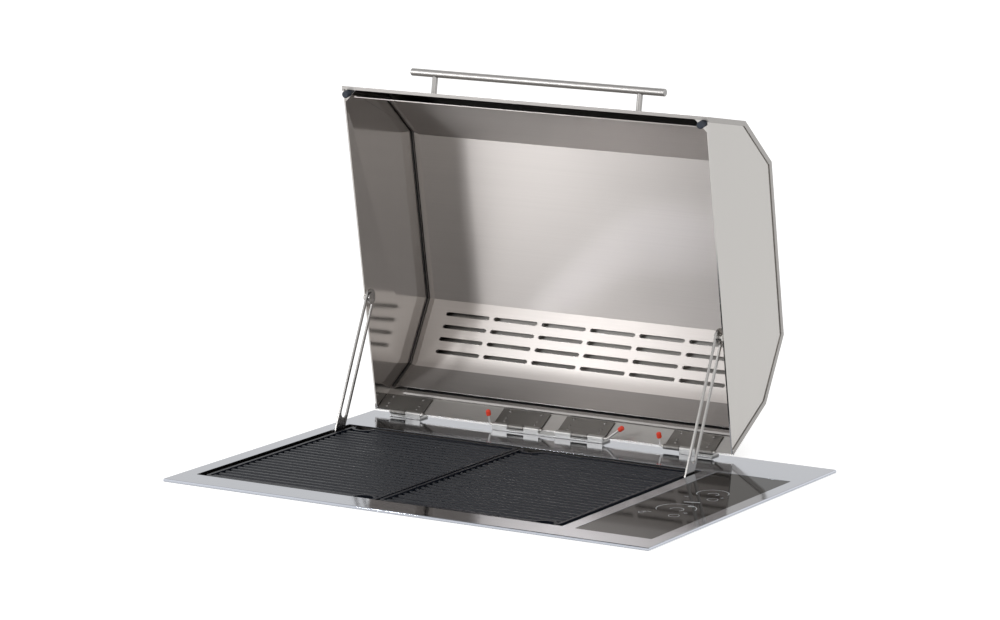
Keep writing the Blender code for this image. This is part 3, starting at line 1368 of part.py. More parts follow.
PIN_ENDS = (0, -1, 1, -1)
levers = zip(LEAF_LEFTS, PIN_ENDS, LEVER_HEIGHTS, LEVER_TILTS)
for number, (left, end, height, tilt) in enumerate(levers, 1):
    right = left + LEAF_WIDTH
    if not end:
        left = knuckle_span(left, 1)[0]
        head = turned(
            (
                (0, PIN_RADIUS * 2 / 3),
                (PIN_TIP / 3, PIN_RADIUS),
                (right - left + PIN_TIP + CLEARANCE, PIN_RADIUS),
                (right - left + PIN_TIP + CLEARANCE, KNUCKLE_RADIUS * 5 / 6),
                (right - left + PIN_TIP * 3 / 2, KNUCKLE_RADIUS * 5 / 6),
                (right - left + PIN_TIP * 2, KNUCKLE_RADIUS / 2),
            ),
            (left - PIN_TIP, 0, 0),
            (1, 0, 0),
        )
        piece(f"hinge_pin_{number}", head, bright, lid)
        continue
    pin, cap = lever_pin(left, right, end, height, tilt)
    piece(f"hinge_pin_{number}", pin, bright, lid)
    piece(f"pin_cap_{number}", cap, red_cap, lid)

# Stays: slotted straps between a pin on the well's wall and a boss on the lid's side
STAY_Y = WELL_REAR - STAY_FROM_WELL_REAR
STAY_Z = HINGE_Z - STAY_FIXED_DROP
lid_forward = Vector((-math.cos(LID_OPEN_ANGLE), math.sin(LID_OPEN_ANGLE)))
lid_upward = Vector((math.sin(LID_OPEN_ANGLE), math.cos(LID_OPEN_ANGLE)))
stay_reach = (
    lid_forward * STAY_LID_FORWARD
    + lid_upward * STAY_LID_RISE
    + Vector((HINGE_Y - STAY_Y, STAY_FIXED_DROP))
)
STAY_ANGLE = math.atan2(stay_reach.y, stay_reach.x)
STAY_DISTANCE = stay_reach.length
HALF_STAY = STAY_SHEET / 2


def strap_outline(start, end, radius):
    """A long outline with round ends."""
    steps = ARC_STEPS * 2
    return arc((end, 0), radius, -90, 90, steps) + arc((start, 0), radius, 90, 270, steps)


for word, side in (("left", 1), ("right", -1)):
    strap_x = STAY_X[word]
    carrier = pivot(f"stay_axis_{word}", (strap_x, STAY_Y, STAY_Z), STAY_ANGLE)
    last = STAY_DISTANCE + STAY_END_BEYOND - STAY_WIDTH / 2
    strap = prism(strap_outline(0, last, STAY_WIDTH / 2), "x", -HALF_STAY, HALF_STAY)
    slot_last = STAY_DISTANCE + STAY_SLOT_BEYOND - STAY_SLOT_WIDTH / 2
    slot = prism(
        strap_outline(STAY_SLOT_START + STAY_SLOT_WIDTH / 2, slot_last, STAY_SLOT_WIDTH / 2),
        "x",
        -OVERRUN,
        OVERRUN,
    )
    hole = rod((-OVERRUN, 0, 0), (OVERRUN, 0, 0), STAY_HOLE_RADIUS)
    piece(f"stay_{word}", cut(strap, slot, hole), bright, carrier)

    inner_face = side * (HALF_STAY + CLEARANCE)
    button = turned(
        (
            (0, BUTTON_SHANK_RADIUS),
            (STAY_SHEET + CLEARANCE, BUTTON_SHANK_RADIUS),
            (STAY_SHEET + CLEARANCE, BUTTON_HEAD_RADIUS),
            (STAY_SHEET + CLEARANCE + BUTTON_HEAD_HEIGHT, BUTTON_HEAD_RADIUS),
            (STAY_SHEET + CLEARANCE + BUTTON_HEAD_HEIGHT, BUTTON_DOME_RADIUS),
            (STAY_SHEET + CLEARANCE + BUTTON_HEAD_HEIGHT + BUTTON_DOME_HEIGHT, BUTTON_DOME_RADIUS / 2),
        ),
        (-side * HALF_STAY, STAY_DISTANCE, 0),
        (side, 0, 0),
        FINE_SIDES,
    )
    piece(f"stay_button_{word}", button, bright, carrier)

    wall_x = -side * (abs(strap_x - (WELL_LEFT if side > 0 else WELL_RIGHT)))
    fixed_pin = turned(
        (
            (0, STAY_PIN_RADIUS),
            (abs(wall_x - inner_face), STAY_PIN_RADIUS),
            (abs(wall_x - inner_face), STAY_PIN_HEAD_RADIUS),
            (abs(wall_x - inner_face) + STAY_PIN_HEAD_HEIGHT, STAY_PIN_HEAD_RADIUS * 3 / 4),
        ),
        (strap_x + wall_x, STAY_Y, STAY_Z),
        (side, 0, 0),
    )
    piece(f"stay_pivot_{word}", fixed_pin, bright)
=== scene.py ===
# %% [markdown]
# # A grill that drops into a worktop
# The object is a steel plate with two cast grates and a touch glass, under a folded steel lid that stands
# open on two slotted stays.  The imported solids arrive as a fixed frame: every size and place is already
# right.  This lesson gives them their finish, piece by piece, and lights them as in a plain studio.

# %% The frame
import json
import math

import bmesh
import bpy
from mathutils import Matrix, Vector


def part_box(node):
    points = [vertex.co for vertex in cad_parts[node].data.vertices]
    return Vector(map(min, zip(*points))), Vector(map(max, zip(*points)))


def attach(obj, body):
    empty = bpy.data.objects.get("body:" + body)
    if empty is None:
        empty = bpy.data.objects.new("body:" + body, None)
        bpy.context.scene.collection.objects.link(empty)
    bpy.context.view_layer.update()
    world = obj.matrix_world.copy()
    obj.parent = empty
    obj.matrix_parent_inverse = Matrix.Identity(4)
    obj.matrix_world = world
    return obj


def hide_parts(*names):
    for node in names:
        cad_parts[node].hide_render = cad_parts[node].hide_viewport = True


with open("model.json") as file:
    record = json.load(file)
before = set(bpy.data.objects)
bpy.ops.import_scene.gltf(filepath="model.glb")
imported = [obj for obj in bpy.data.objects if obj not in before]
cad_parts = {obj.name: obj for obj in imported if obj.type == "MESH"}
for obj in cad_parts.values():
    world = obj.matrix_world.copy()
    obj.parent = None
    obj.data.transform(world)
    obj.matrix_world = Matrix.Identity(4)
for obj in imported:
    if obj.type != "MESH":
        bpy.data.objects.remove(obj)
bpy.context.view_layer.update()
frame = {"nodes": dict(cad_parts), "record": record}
scene = bpy.context.scene
scene.view_settings.view_transform = "Standard"

# %% [markdown]
# ## Units and small helpers
# Sizes are written in millimetres, as on a drawing, and one factor turns them into Blender's metres.
# Colours are written as the hex values that a picture editor shows, so one function turns them linear.

# %% Helpers
MM = 0.001


def linear(code, alpha=1.0):
    """An sRGB hex colour as Blender's linear colour."""
    channels = [int(code[index:index + 2], 16) / 255 for index in (1, 3, 5)]
    bent = [c / 12.92 if c <= 0.04045 else ((c + 0.055) / 1.055) ** 2.4 for c in channels]
    return (*bent, alpha)


def add(tree, kind, inputs=None, **settings):
    """A node with its settings, and values or links for its inputs.

    An input goes by its name, or by its number where the node has several of one name."""
    made = tree.nodes.new(kind)
    for name, value in settings.items():
        setattr(made, name, value)
    for name, value in (inputs or {}).items():
        if isinstance(value, bpy.types.NodeSocket):
            tree.links.new(value, made.inputs[name])
        else:
            made.inputs[name].default_value = value
    return made


def new_material(name):
    """An empty material and its Principled shader."""
    made = bpy.data.materials.new(name)
    made.use_nodes = True
    return made, made.node_tree, made.node_tree.nodes["Principled BSDF"]


def built(work, name, material=None):
    """Turns a finished bmesh into an object of that name."""
    mesh = bpy.data.meshes.new(name)
    work.to_mesh(mesh)
    work.free()
    if material:
        mesh.materials.append(material)
    made = bpy.data.objects.new(name, mesh)
    scene.collection.objects.link(made)
    return made


# %% [markdown]
# ## The camera
# The view was found by matching the plate's corners, the two openings and the lid's folds.  A long lens far
# away gives the flat perspective of a product picture.  The camera's three axes are built from its bearing,
# its height angle and a trace of roll.

# %% Camera
BEARING = math.radians(30.85)
HEIGHT_ANGLE = math.radians(10.58)
ROLL = math.radians(0.23)
FOCAL_PIXELS = 4339
IMAGE_WIDTH_PIXELS = 1000
SENSOR_MM = 36
CAMERA_ACROSS = 130.3 * MM
CAMERA_UP = 257.1 * MM
CAMERA_AWAY = 5519 * MM

plate_low, plate_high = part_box("trim_plate")
aim_origin = Vector((0, plate_low.y, plate_high.z))
back = Vector((
    math.sin(BEARING) * math.cos(HEIGHT_ANGLE),
    -math.cos(BEARING) * math.cos(HEIGHT_ANGLE),
    math.sin(HEIGHT_ANGLE),
))
level_right = Vector((math.cos(BEARING), math.sin(BEARING), 0))
level_up = back.cross(level_right)
right = level_right * math.cos(ROLL) + level_up * math.sin(ROLL)
up = level_up * math.cos(ROLL) - level_right * math.sin(ROLL)
eye = aim_origin + right * CAMERA_ACROSS + up * CAMERA_UP + back * CAMERA_AWAY
lens = bpy.data.cameras.new("camera")
lens.sensor_width = SENSOR_MM
lens.lens = FOCAL_PIXELS / IMAGE_WIDTH_PIXELS * SENSOR_MM
lens.clip_end = CAMERA_AWAY * 4
camera = bpy.data.objects.new("camera", lens)
camera.matrix_world = Matrix((
    (right.x, up.x, back.x, eye.x),
    (right.y, up.y, back.y, eye.y),
    (right.z, up.z, back.z, eye.z),
    (0, 0, 0, 1),
))
scene.collection.objects.link(camera)
scene.camera = camera
print("lens", round(lens.lens, 1), "mm, eye", [round(value, 2) for value in eye])

# %% [markdown]
# ## Studio
# The grill is built in, so the pale floor is the worktop at the gasket's underside, with a cut-out for
# the casing.  The world is white where it is seen and, near the horizon, where it is mirrored; overhead its
# mirror image falls to grey, as the ceiling of a studio does.  Where it only lights, it is a little dimmer.

# %% World, worktop and lamps
WORLD_LIGHT = 0.7
CEILING = 0.25
CEILING_STARTS = 0.74
CEILING_ENDS = 0.9
FLOOR_COLOUR = "#f0f0f0"
FLOOR_LIFT = 0.55
FLOOR_LIFT_MIRRORED = 0.15
FLOOR_REACH = 6000 * MM
CUT_OUT_PLAY = 4 * MM
WORKTOP_HEM = 40 * MM

world = bpy.data.worlds.new("white studio")
scene.world = world
world.use_nodes = True
sky = world.node_tree
sky.nodes.clear()
path = add(sky, "ShaderNodeLightPath")
heading = add(sky, "ShaderNodeTexCoord")
height = add(sky, "ShaderNodeSeparateXYZ", {"Vector": heading.outputs["Generated"]})
ceiling = add(sky, "ShaderNodeMapRange", {
    "Value": height.outputs["Z"], "From Min": CEILING_STARTS, "From Max": CEILING_ENDS,
    "To Min": 1.0, "To Max": CEILING,
}, interpolation_type="SMOOTHSTEP")
lit = add(sky, "ShaderNodeMix", {
    "Factor": path.outputs["Is Glossy Ray"], 2: WORLD_LIGHT, 3: ceiling.outputs[0],
})
seen = add(sky, "ShaderNodeMath", {
    0: path.outputs["Is Camera Ray"], 1: path.outputs["Is Transmission Ray"],
}, operation="MAXIMUM")
strength = add(sky, "ShaderNodeMix", {"Factor": seen.outputs[0], 2: lit.outputs[0], 3: 1.0})
light = add(sky, "ShaderNodeBackground", {
    "Color": linear("#ffffff"), "Strength": strength.outputs[0],
})
add(sky, "ShaderNodeOutputWorld", {"Surface": light.outputs["Background"]})

gasket_low, gasket_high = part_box("worktop_gasket")


def corners(low_x, low_y, high_x, high_y):
    """The corners of a rectangle, anticlockwise from above."""
    return [(low_x, low_y), (high_x, low_y), (high_x, high_y), (low_x, high_y)]


def worktop():
    """A wide plane with a rectangular hole for the casing, its hem turned down at the hole."""
    work = bmesh.new()
    inner = corners(
        gasket_low.x + CUT_OUT_PLAY, gasket_low.y + CUT_OUT_PLAY,
        gasket_high.x - CUT_OUT_PLAY, gasket_high.y - CUT_OUT_PLAY,
    )
    outer = corners(-FLOOR_REACH, -FLOOR_REACH, FLOOR_REACH, FLOOR_REACH)
    level = gasket_low.z
    near = [work.verts.new((x, y, level)) for x, y in inner]
    far = [work.verts.new((x, y, level)) for x, y in outer]
    deep = [work.verts.new((x, y, level - WORKTOP_HEM)) for x, y in inner]
    for index in range(4):
        after = (index + 1) % 4
        work.faces.new((far[index], far[after], near[after], near[index]))
        work.faces.new((near[index], near[after], deep[after], deep[index]))
    return built(work, "worktop")


floor = worktop()
paint, tree, shader = new_material("matt white worktop")
shader.inputs["Base Color"].default_value = linear(FLOOR_COLOUR)
shader.inputs["Roughness"].default_value = 0.9
shader.inputs["Specular IOR Level"].default_value = 0.0
path = add(tree, "ShaderNodeLightPath")
mirrored = add(tree, "ShaderNodeMath", {
    0: path.outputs["Is Glossy Ray"], 1: FLOOR_LIFT_MIRRORED,
}, operation="MULTIPLY")
lift = add(tree, "ShaderNodeMath", {
    0: path.outputs["Is Camera Ray"], 1: FLOOR_LIFT, 2: mirrored.outputs[0],
}, operation="MULTIPLY_ADD")
shader.inputs["Emission Color"].default_value = linear("#ffffff")
tree.links.new(lift.outputs[0], shader.inputs["Emission Strength"])
floor.data.materials.append(paint)


def lamp(name, place, target, size, watts):
    """A square soft box that looks at a point."""
    data = bpy.data.lights.new(name, "AREA")
    data.shape = "SQUARE"
    data.size = size
    data.energy = watts
    made = bpy.data.objects.new(name, data)
    made.location = place
    aim = Vector(target) - Vector(place)
    made.rotation_euler = aim.to_track_quat("-Z", "Y").to_euler()
    scene.collection.objects.link(made)


KEY_PLACE, KEY_TARGET = (-1.62, -2.3, 1.05), (0, 0.2, 0.3)
KEY_SIZE, KEY_WATTS = 0.35, 14
FILL_PLACE, FILL_TARGET = (2.6, -1.6, 1.9), (0, 0, 0.25)
FILL_SIZE, FILL_WATTS = 1.8, 8
lamp("key", KEY_PLACE, KEY_TARGET, KEY_SIZE, KEY_WATTS)
lamp("fill", FILL_PLACE, FILL_TARGET, FILL_SIZE, FILL_WATTS)
print("stage and", len(bpy.data.lights), "lamps")

# %% [markdown]
# ## Brushed stainless steel
# Stainless sheet is ground with a belt, which leaves fine straight scratches in one direction.  They blur
# reflections across the grain.  The real scratches are under 0.1 mm wide, too fine for this picture, so the
# streaks are drawn about 1.5 mm wide.  The metal keeps the default IOR.

# %% Steel
STREAK_WIDTH = 1.5 * MM
STREAK_LENGTH = 400 * MM
STREAK_CONTRAST = 0.05
STREAK_BUMP = 0.02
CLOUD_SIZE = 120 * MM
SCRATCH_DEPTH = 0.1 * MM
PAINTED_BAND_BLUR = 0.2 * MM
TANGENT_NUDGE = (0.0, 0.01, 0.02)
GRAIN = {"x": (1, 0, 0), "z": (0, 0, 1)}


def tones(base, spread):
    """A linear colour made a little darker and a little lighter."""
    dim = [channel * (1 - spread) for channel in base[:3]]
    lit = [min(channel * (1 + spread), 1) for channel in base[:3]]
    return (*dim, 1), (*lit, 1)


def steel(name, colour, roughness, grain, stretch=0.8, clouds=0.03, painted_band=None):
    """Ground stainless steel whose scratches run along one axis and stretch reflections across them.

    An optional height and factor paint light or shade: below that height the metal's tone is multiplied by
    that factor."""
    made, tree, shader = new_material(name)
    place = add(tree, "ShaderNodeTexCoord")
    scale = [1 / STREAK_LENGTH if along else 1 / STREAK_WIDTH for along in GRAIN[grain]]
    lined = add(tree, "ShaderNodeMapping", {"Vector": place.outputs["Object"], "Scale": scale})
    streaks = add(tree, "ShaderNodeTexNoise", {
        "Vector": lined.outputs[0], "Scale": 1.0, "Detail": 3.0,
    })
    cloud = add(tree, "ShaderNodeTexNoise", {
        "Vector": place.outputs["Object"], "Scale": 1 / CLOUD_SIZE,
    })
    dim, lit = tones(linear(colour), STREAK_CONTRAST)
    tone = add(tree, "ShaderNodeMix", {"Factor": streaks.outputs[0], 6: dim, 7: lit}, data_type="RGBA")
    rough = add(tree, "ShaderNodeMapRange", {
        "Value": cloud.outputs[0], "To Min": roughness - clouds, "To Max": roughness + clouds,
    })
    relief = add(tree, "ShaderNodeBump", {
        "Height": streaks.outputs[0], "Strength": STREAK_BUMP, "Distance": SCRATCH_DEPTH,
    })
    shade = tone.outputs[2]
    # Painted light or shade: below the given height the tone is lightened or darkened by a factor.
    if painted_band:
        parts = add(tree, "ShaderNodeSeparateXYZ", {"Vector": place.outputs["Object"]})
        below = add(tree, "ShaderNodeMapRange", {
            "Value": parts.outputs["Z"], "From Min": painted_band[0] - PAINTED_BAND_BLUR, "From Max": painted_band[0],
            "To Min": painted_band[1], "To Max": 1.0,
        })
        tinted = add(tree, "ShaderNodeMix", {
            "Factor": 1.0, 6: shade, 7: below.outputs[0],
        }, data_type="RGBA", blend_type="MULTIPLY")
        shade = tinted.outputs[2]
    tree.links.new(shade, shader.inputs["Base Color"])
    tree.links.new(rough.outputs[0], shader.inputs["Roughness"])
    tree.links.new(relief.outputs[0], shader.inputs["Normal"])
    scratch = add(tree, "ShaderNodeVectorTransform", {
        "Vector": GRAIN[grain],
    }, convert_from="OBJECT", convert_to="WORLD")
    surface = add(tree, "ShaderNodeNewGeometry")
    across = add(tree, "ShaderNodeVectorMath", {
        0: surface.outputs["Normal"], 1: scratch.outputs[0],
    }, operation="CROSS_PRODUCT")
    # The nudge gives a tangent to faces square to the grain, where the cross product is nothing.
    safe = add(tree, "ShaderNodeVectorMath", {
        0: across.outputs[0], 1: TANGENT_NUDGE,
    }, operation="ADD")
    tree.links.new(safe.outputs[0], shader.inputs["Tangent"])
    shader.inputs["Anisotropic"].default_value = stretch
    shader.inputs["Metallic"].default_value = 1.0
    return made


# Two tints are fitted to the photograph's tones, and are no property of the metal: the plate's rim is
# lightened as a painted highlight, and the liner's lowest facet is darkened as painted shade.
RIM_EDGE = 95.9 * MM
RIM_PAINTED_HIGHLIGHT = 2.1
LINER_FOLD = 154.1 * MM
LINER_PAINTED_SHADE = 0.45
# Below the rim edge the plate's tone is raised: a painted highlight on the rim.
plate_steel = steel(
    "brushed stainless plate", "#9a9da4", 0.08, "x", 0.5, clouds=0.01, painted_band=(RIM_EDGE, RIM_PAINTED_HIGHLIGHT),
)
skin_steel = steel("brushed stainless lid sheet", "#b7b4b1", 0.34, "x")
side_steel = steel("brushed stainless side sheet", "#dad7d3", 0.15, "z", 0.2)
inner_side_steel = steel("bright rolled side sheet", "#d6d2ce", 0.13, "z", 0.2)
# Below the lowest fold the liner's tone is lowered: painted shade on its lowest facet.
liner_steel = steel(
    "satin stainless liner", "#c3bebb", 0.34, "x", 0.97, painted_band=(LINER_FOLD, LINER_PAINTED_SHADE),
)
bright_steel = steel("drawn stainless bar", "#a8a6a4", 0.24, "x", 0.3)
leaf_steel = steel("dark stainless hinge leaf", "#72706d", 0.4, "x")
pan_steel = steel("heat tinted pressed pan", "#3c3a39", 0.45, "x")
tube_steel = steel("satin stainless tube", "#b2b0ae", 0.33, "x", 0.3)
pin_steel = steel("tumbled stainless pin", "#e4e1dd", 0.5, "x", 0.1)
web_steel = steel("tumbled stainless hinge", "#a3a2a0", 0.38, "x", 0.3)
rail_steel = steel("folded stainless rail", "#8f8c8a", 0.46, "x", 0.6)

# %% [markdown]
# ## Cast, moulded and plated surfaces
# The grates are cast and covered with a matt coating: nearly black, slightly blue, with a fine sandy skin.
# Rubber, vinyl, nylon and ceramic are not metals, so they differ in colour, roughness and surface skin.

# %% Other finishes
CAST_GRIT = 1.2 * MM
SKIN_GRIT = 0.8 * MM
PLATING_GRIT = 6 * MM
SKIN_DEPTH = 0.2 * MM


def moulded(
    name, colour, roughness, grit=SKIN_GRIT, bump=0.1, metallic=0.0, mottling=0.08, gloss=0.5,
):
    """A cast, moulded or plated surface: one colour with a fine uneven skin."""
    made, tree, shader = new_material(name)
    place = add(tree, "ShaderNodeTexCoord")
    skin = add(tree, "ShaderNodeTexNoise", {
        "Vector": place.outputs["Object"], "Scale": 1 / grit, "Detail": 2.0,
    })
    dim, lit = tones(linear(colour), mottling)
    tone = add(tree, "ShaderNodeMix", {"Factor": skin.outputs[0], 6: dim, 7: lit}, data_type="RGBA")
    relief = add(tree, "ShaderNodeBump", {
        "Height": skin.outputs[0], "Strength": bump, "Distance": SKIN_DEPTH,
    })
    tree.links.new(tone.outputs[2], shader.inputs["Base Color"])
    tree.links.new(relief.outputs[0], shader.inputs["Normal"])
    shader.inputs["Roughness"].default_value = roughness
    shader.inputs["Metallic"].default_value = metallic
    shader.inputs["Specular IOR Level"].default_value = gloss
    return made


coated_iron = moulded("matt coated cast iron", "#0b111d", 0.46, CAST_GRIT, 0.35, 0.0, 0.15, 0.28)
stop_rubber = moulded("blue grey moulded rubber", "#333a45", 0.6)
cap_vinyl = moulded("red dipped vinyl", "#f9482c", 0.38, SKIN_GRIT, 0.05)
seal_rubber = moulded("black extruded rubber", "#1d1e20", 0.7)
zinc_plate = moulded("zinc plated sheet steel", "#a9adb2", 0.42, PLATING_GRIT, 0.02, 1.0, 0.1)
heater_sheath = moulded("oxidised heater sheath", "#4a4644", 0.5, SKIN_GRIT, 0.1, 0.8, 0.15)
steatite = moulded("unglazed steatite", "#dcd6c8", 0.7)
board_green = moulded("solder resist on laminate", "#1d5a3a", 0.4)
black_nylon = moulded("black glass filled nylon", "#202122", 0.5)
white_enamel = moulded("white fired enamel", "#d2d6da", 0.4)
# Plain black for the strips of painted shadow in the gaps beside the liner.
shadow_strip_black = moulded("black painted shadow strip", "#0b0b0c", 0.6)

# %% [markdown]
# ## Black ceramic glass
# The control panel is a 4 mm ceramic glass: almost black with a brown tint, polished, so it mirrors the lid
# and the white room at a low angle.  Its IOR starts from that of glass and is lowered until the mirrored
# lid is as dim as in the photograph.

# %% Glass
black_glass, tree, shader = new_material("polished black ceramic glass")
shader.inputs["Base Color"].default_value = linear("#191614")
shader.inputs["Roughness"].default_value = 0.05
shader.inputs["IOR"].default_value = 1.14

FINISHES = {
    "trim_plate": plate_steel, "worktop_gasket": seal_rubber, "grill_well": pan_steel,
    "outer_casing": zinc_plate, "heat_shield": zinc_plate, "glass_panel": black_glass,
    "glass_carrier": zinc_plate, "touch_board": board_green, "power_board": board_green,
    "terminal_block": black_nylon, "cable_gland": black_nylon, "element_socket": steatite,
    "element": heater_sheath, "grate_rail": pan_steel, "clamp": zinc_plate, "hinge_bracket": web_steel,
    "stay": bright_steel, "lid_skin": skin_steel, "lid_side": side_steel,
    "lid_side_left": inner_side_steel, "lid_liner": liner_steel, "liner_edge": liner_steel,
    "liner_rear_rail": rail_steel, "bumper": stop_rubber,
    "handle": tube_steel, "lid_leaf": leaf_steel, "hinge_pin": pin_steel, "pin_cap": cap_vinyl,
    "grate": coated_iron, "drip_tray": pan_steel,
}
BODIES = frame["record"]["behaviour"]["bodies"]
BODY_OF = {node: body for body, nodes in BODIES.items() for node in nodes}

# %% [markdown]
# ## Edges
# No sheet or casting has a perfectly sharp edge: it is the thin bright line along each edge that makes an
# object look made.  Each solid is copied, its loose triangles are joined into whole faces, and a small
# bevel is put on its edges.  The copy stands for the solid.

# %% Dressing a solid
BEVELS = {
    "grate": 0.7 * MM, "lid_skin": 0.35 * MM, "trim_plate": 0.3 * MM, "glass_panel": 0.4 * MM,
    "bumper": 0.4 * MM, "element_socket": 0.5 * MM, "stay_left": 0.45 * MM, "stay_right": 0.45 * MM,
}
FINE_BEVEL = 0.15 * MM
BEVEL_STEPS = 2
BEVEL_ANGLE = 35
FOLD_ANGLES = {"lid_liner": 12, "lid_leaf": 20, "lid_side": 20}
SHARP_ANGLE = 28
FLAT_ANGLE = 0.5
MERGE = 0.001 * MM


def finish_of(node, table, default=None):
    """The entry whose name the node's name starts with, the longest first."""
    for name in sorted(table, key=len, reverse=True):
        if node.startswith(name):
            return table[name]
    return default


def joined_copy(node):
    """A copy of a solid with its loose triangles merged into whole flat faces."""
    work = bmesh.new()
    work.from_mesh(frame["nodes"][node].data)
    bmesh.ops.remove_doubles(work, verts=work.verts, dist=MERGE)
    flat = math.radians(FLAT_ANGLE)
    bmesh.ops.dissolve_limit(work, angle_limit=flat, verts=work.verts, edges=work.edges)
    return built(work, f"{node}_dressed", finish_of(node, FINISHES))


def dress(node):
    """Puts a bevelled copy in the solid's place."""
    made = joined_copy(node)
    edge = made.modifiers.new("edge", "BEVEL")
    edge.width = finish_of(node, BEVELS, FINE_BEVEL)
    edge.segments = BEVEL_STEPS
    edge.limit_method = "ANGLE"
    edge.angle_limit = math.radians(BEVEL_ANGLE)
    edge.use_clamp_overlap = True
    edge.harden_normals = True
    made.data.shade_smooth()
    made.data.set_sharp_from_angle(angle=math.radians(finish_of(node, FOLD_ANGLES, SHARP_ANGLE)))
    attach(made, BODY_OF[node])
    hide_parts(node)


for node in sorted(frame["nodes"]):
    dress(node)
print("dressed", len(frame["nodes"]), "solids")

# %% [markdown]
# ## Small shapes that repeat
# Rivets and slot rims repeat many times, so Geometry Nodes place them.  A bare mesh carries one point for
# each copy and the way it faces.  A node group makes the small shape from named sizes, sets it on every
# point, realizes the copies and gives them their material.  The result is kept as a plain mesh.

# %% Geometry Nodes
HEAD_SEGMENTS = 16
HEAD_RINGS = 8
WIRE_SIDES = 6
END_STEPS = 8
NEARLY_HALF = 0.499


def domed_head(tree, sizes):
    """A flattened ball, half sunk in the sheet."""
    ball = add(tree, "GeometryNodeMeshUVSphere", {
        "Segments": HEAD_SEGMENTS, "Rings": HEAD_RINGS, "Radius": sizes["Radius"],
    })
    low = add(tree, "ShaderNodeCombineXYZ", {"X": 1.0, "Y": 1.0, "Z": sizes["Flatness"]})
    flat = add(tree, "GeometryNodeTransform", {
        "Geometry": ball.outputs["Mesh"], "Scale": low.outputs[0],
    })
    return add(tree, "GeometryNodeSetShadeSmooth", {"Geometry": flat.outputs[0]}).outputs[0]


def slot_rim(tree, sizes):
    """A thin round bead along the outline of a slot with round ends."""
    outline = add(tree, "GeometryNodeCurvePrimitiveQuadrilateral", {
        "Width": sizes["Length"], "Height": sizes["Width"],
    })
    half = add(tree, "ShaderNodeMath", {0: sizes["Width"], 1: NEARLY_HALF}, operation="MULTIPLY")
    rounded = add(tree, "GeometryNodeFilletCurve", {
        "Curve": outline.outputs[0], "Count": END_STEPS, "Radius": half.outputs[0],
    }, mode="POLY")
    wire = add(tree, "GeometryNodeCurvePrimitiveCircle", {
        "Resolution": WIRE_SIDES, "Radius": sizes["Bead"],
    })
    bead = add(tree, "GeometryNodeCurveToMesh", {
        "Curve": rounded.outputs[0], "Profile Curve": wire.outputs[0],
    })
    return add(tree, "GeometryNodeSetShadeSmooth", {"Geometry": bead.outputs[0]}).outputs[0]


def scatter(name, shape, sizes, spots, facing, material, body):
    """Copies of one small shape, on their spots and all turned one way, as one plain mesh."""
    tree = bpy.data.node_groups.new(name, "GeometryNodeTree")
    face = tree.interface
    face.new_socket("Geometry", in_out="INPUT", socket_type="NodeSocketGeometry")
    face.new_socket("Geometry", in_out="OUTPUT", socket_type="NodeSocketGeometry")
    kinds = {size: "NodeSocketFloat" for size in sizes}
    kinds["Finish"] = "NodeSocketMaterial"
    sockets = {}
    for label, kind in kinds.items():
        sockets[label] = face.new_socket(label, in_out="INPUT", socket_type=kind).identifier
    given = add(tree, "NodeGroupInput")
    small = shape(tree, {size: given.outputs[size] for size in sizes})
    way = add(tree, "GeometryNodeInputNamedAttribute", {
        "Name": "facing",
    }, data_type="FLOAT_VECTOR")
    turn = add(tree, "FunctionNodeAlignRotationToVector", {
        "Vector": way.outputs["Attribute"],
    }, axis="Z")
    placed = add(tree, "GeometryNodeInstanceOnPoints", {
        "Points": given.outputs["Geometry"], "Instance": small, "Rotation": turn.outputs[0],
    })
    whole = add(tree, "GeometryNodeRealizeInstances", {"Geometry": placed.outputs[0]})
    coloured = add(tree, "GeometryNodeSetMaterial", {
        "Geometry": whole.outputs[0], "Material": given.outputs["Finish"],
    })
    add(tree, "NodeGroupOutput", {"Geometry": coloured.outputs[0]})
    cloud = bpy.data.meshes.new(f"{name}_points")
    cloud.from_pydata([tuple(spot) for spot in spots], [], [])
    ways = cloud.attributes.new("facing", "FLOAT_VECTOR", "POINT")
    for way_of_point in ways.data:
        way_of_point.vector = facing
    made = bpy.data.objects.new(name, cloud)
    scene.collection.objects.link(made)
    modifier = made.modifiers.new("copies", "NODES")
    modifier.node_group = tree
    for size, value in sizes.items():
        modifier[sockets[size]] = value
    modifier[sockets["Finish"]] = material
    view = bpy.context.evaluated_depsgraph_get()
    plain = bpy.data.meshes.new_from_object(made.evaluated_get(view))
    made.modifiers.remove(modifier)
    made.data = plain
    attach(made, body)


# %% [markdown]
# ## Rivets on the hinge leaves and rims around the vent slots
# Each leaf of the lid's hinges gets four small rivets beside its four studs, at places read from a few
# pixels of the photograph.  The leaf and the slotted facet
# lie in slanted planes, so a spot is found by going down the slope from a known edge.

# %% Rivets and rims
LEAF_TOP = (265.45 * MM, 120.4 * MM)
LEAF_SLOPE = (0.8660, 0.5000)
RIVET_ACROSS = (13 * MM, 62 * MM)
RIVET_DOWN = (5 * MM, 25 * MM)
RIVET_SIZES = {"Radius": 1.5 * MM, "Flatness": 0.5}


def down_slope(across, top, slope, down):
    """A point of a slanted facet, a distance down from its top edge."""
    return (across, top[0] - slope[0] * down, top[1] - slope[1] * down)


rivet_spots = []
for number in (1, 2, 3, 4):
    leaf_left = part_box(f"lid_leaf_{number}")[0].x
    for across in RIVET_ACROSS:
        for down in RIVET_DOWN:
            rivet_spots.append(down_slope(leaf_left + across, LEAF_TOP, LEAF_SLOPE, down))
scatter(
    "leaf_rivets", domed_head, RIVET_SIZES, rivet_spots, (0, -LEAF_SLOPE[1], LEAF_SLOPE[0]),
    bright_steel, "lid",
)

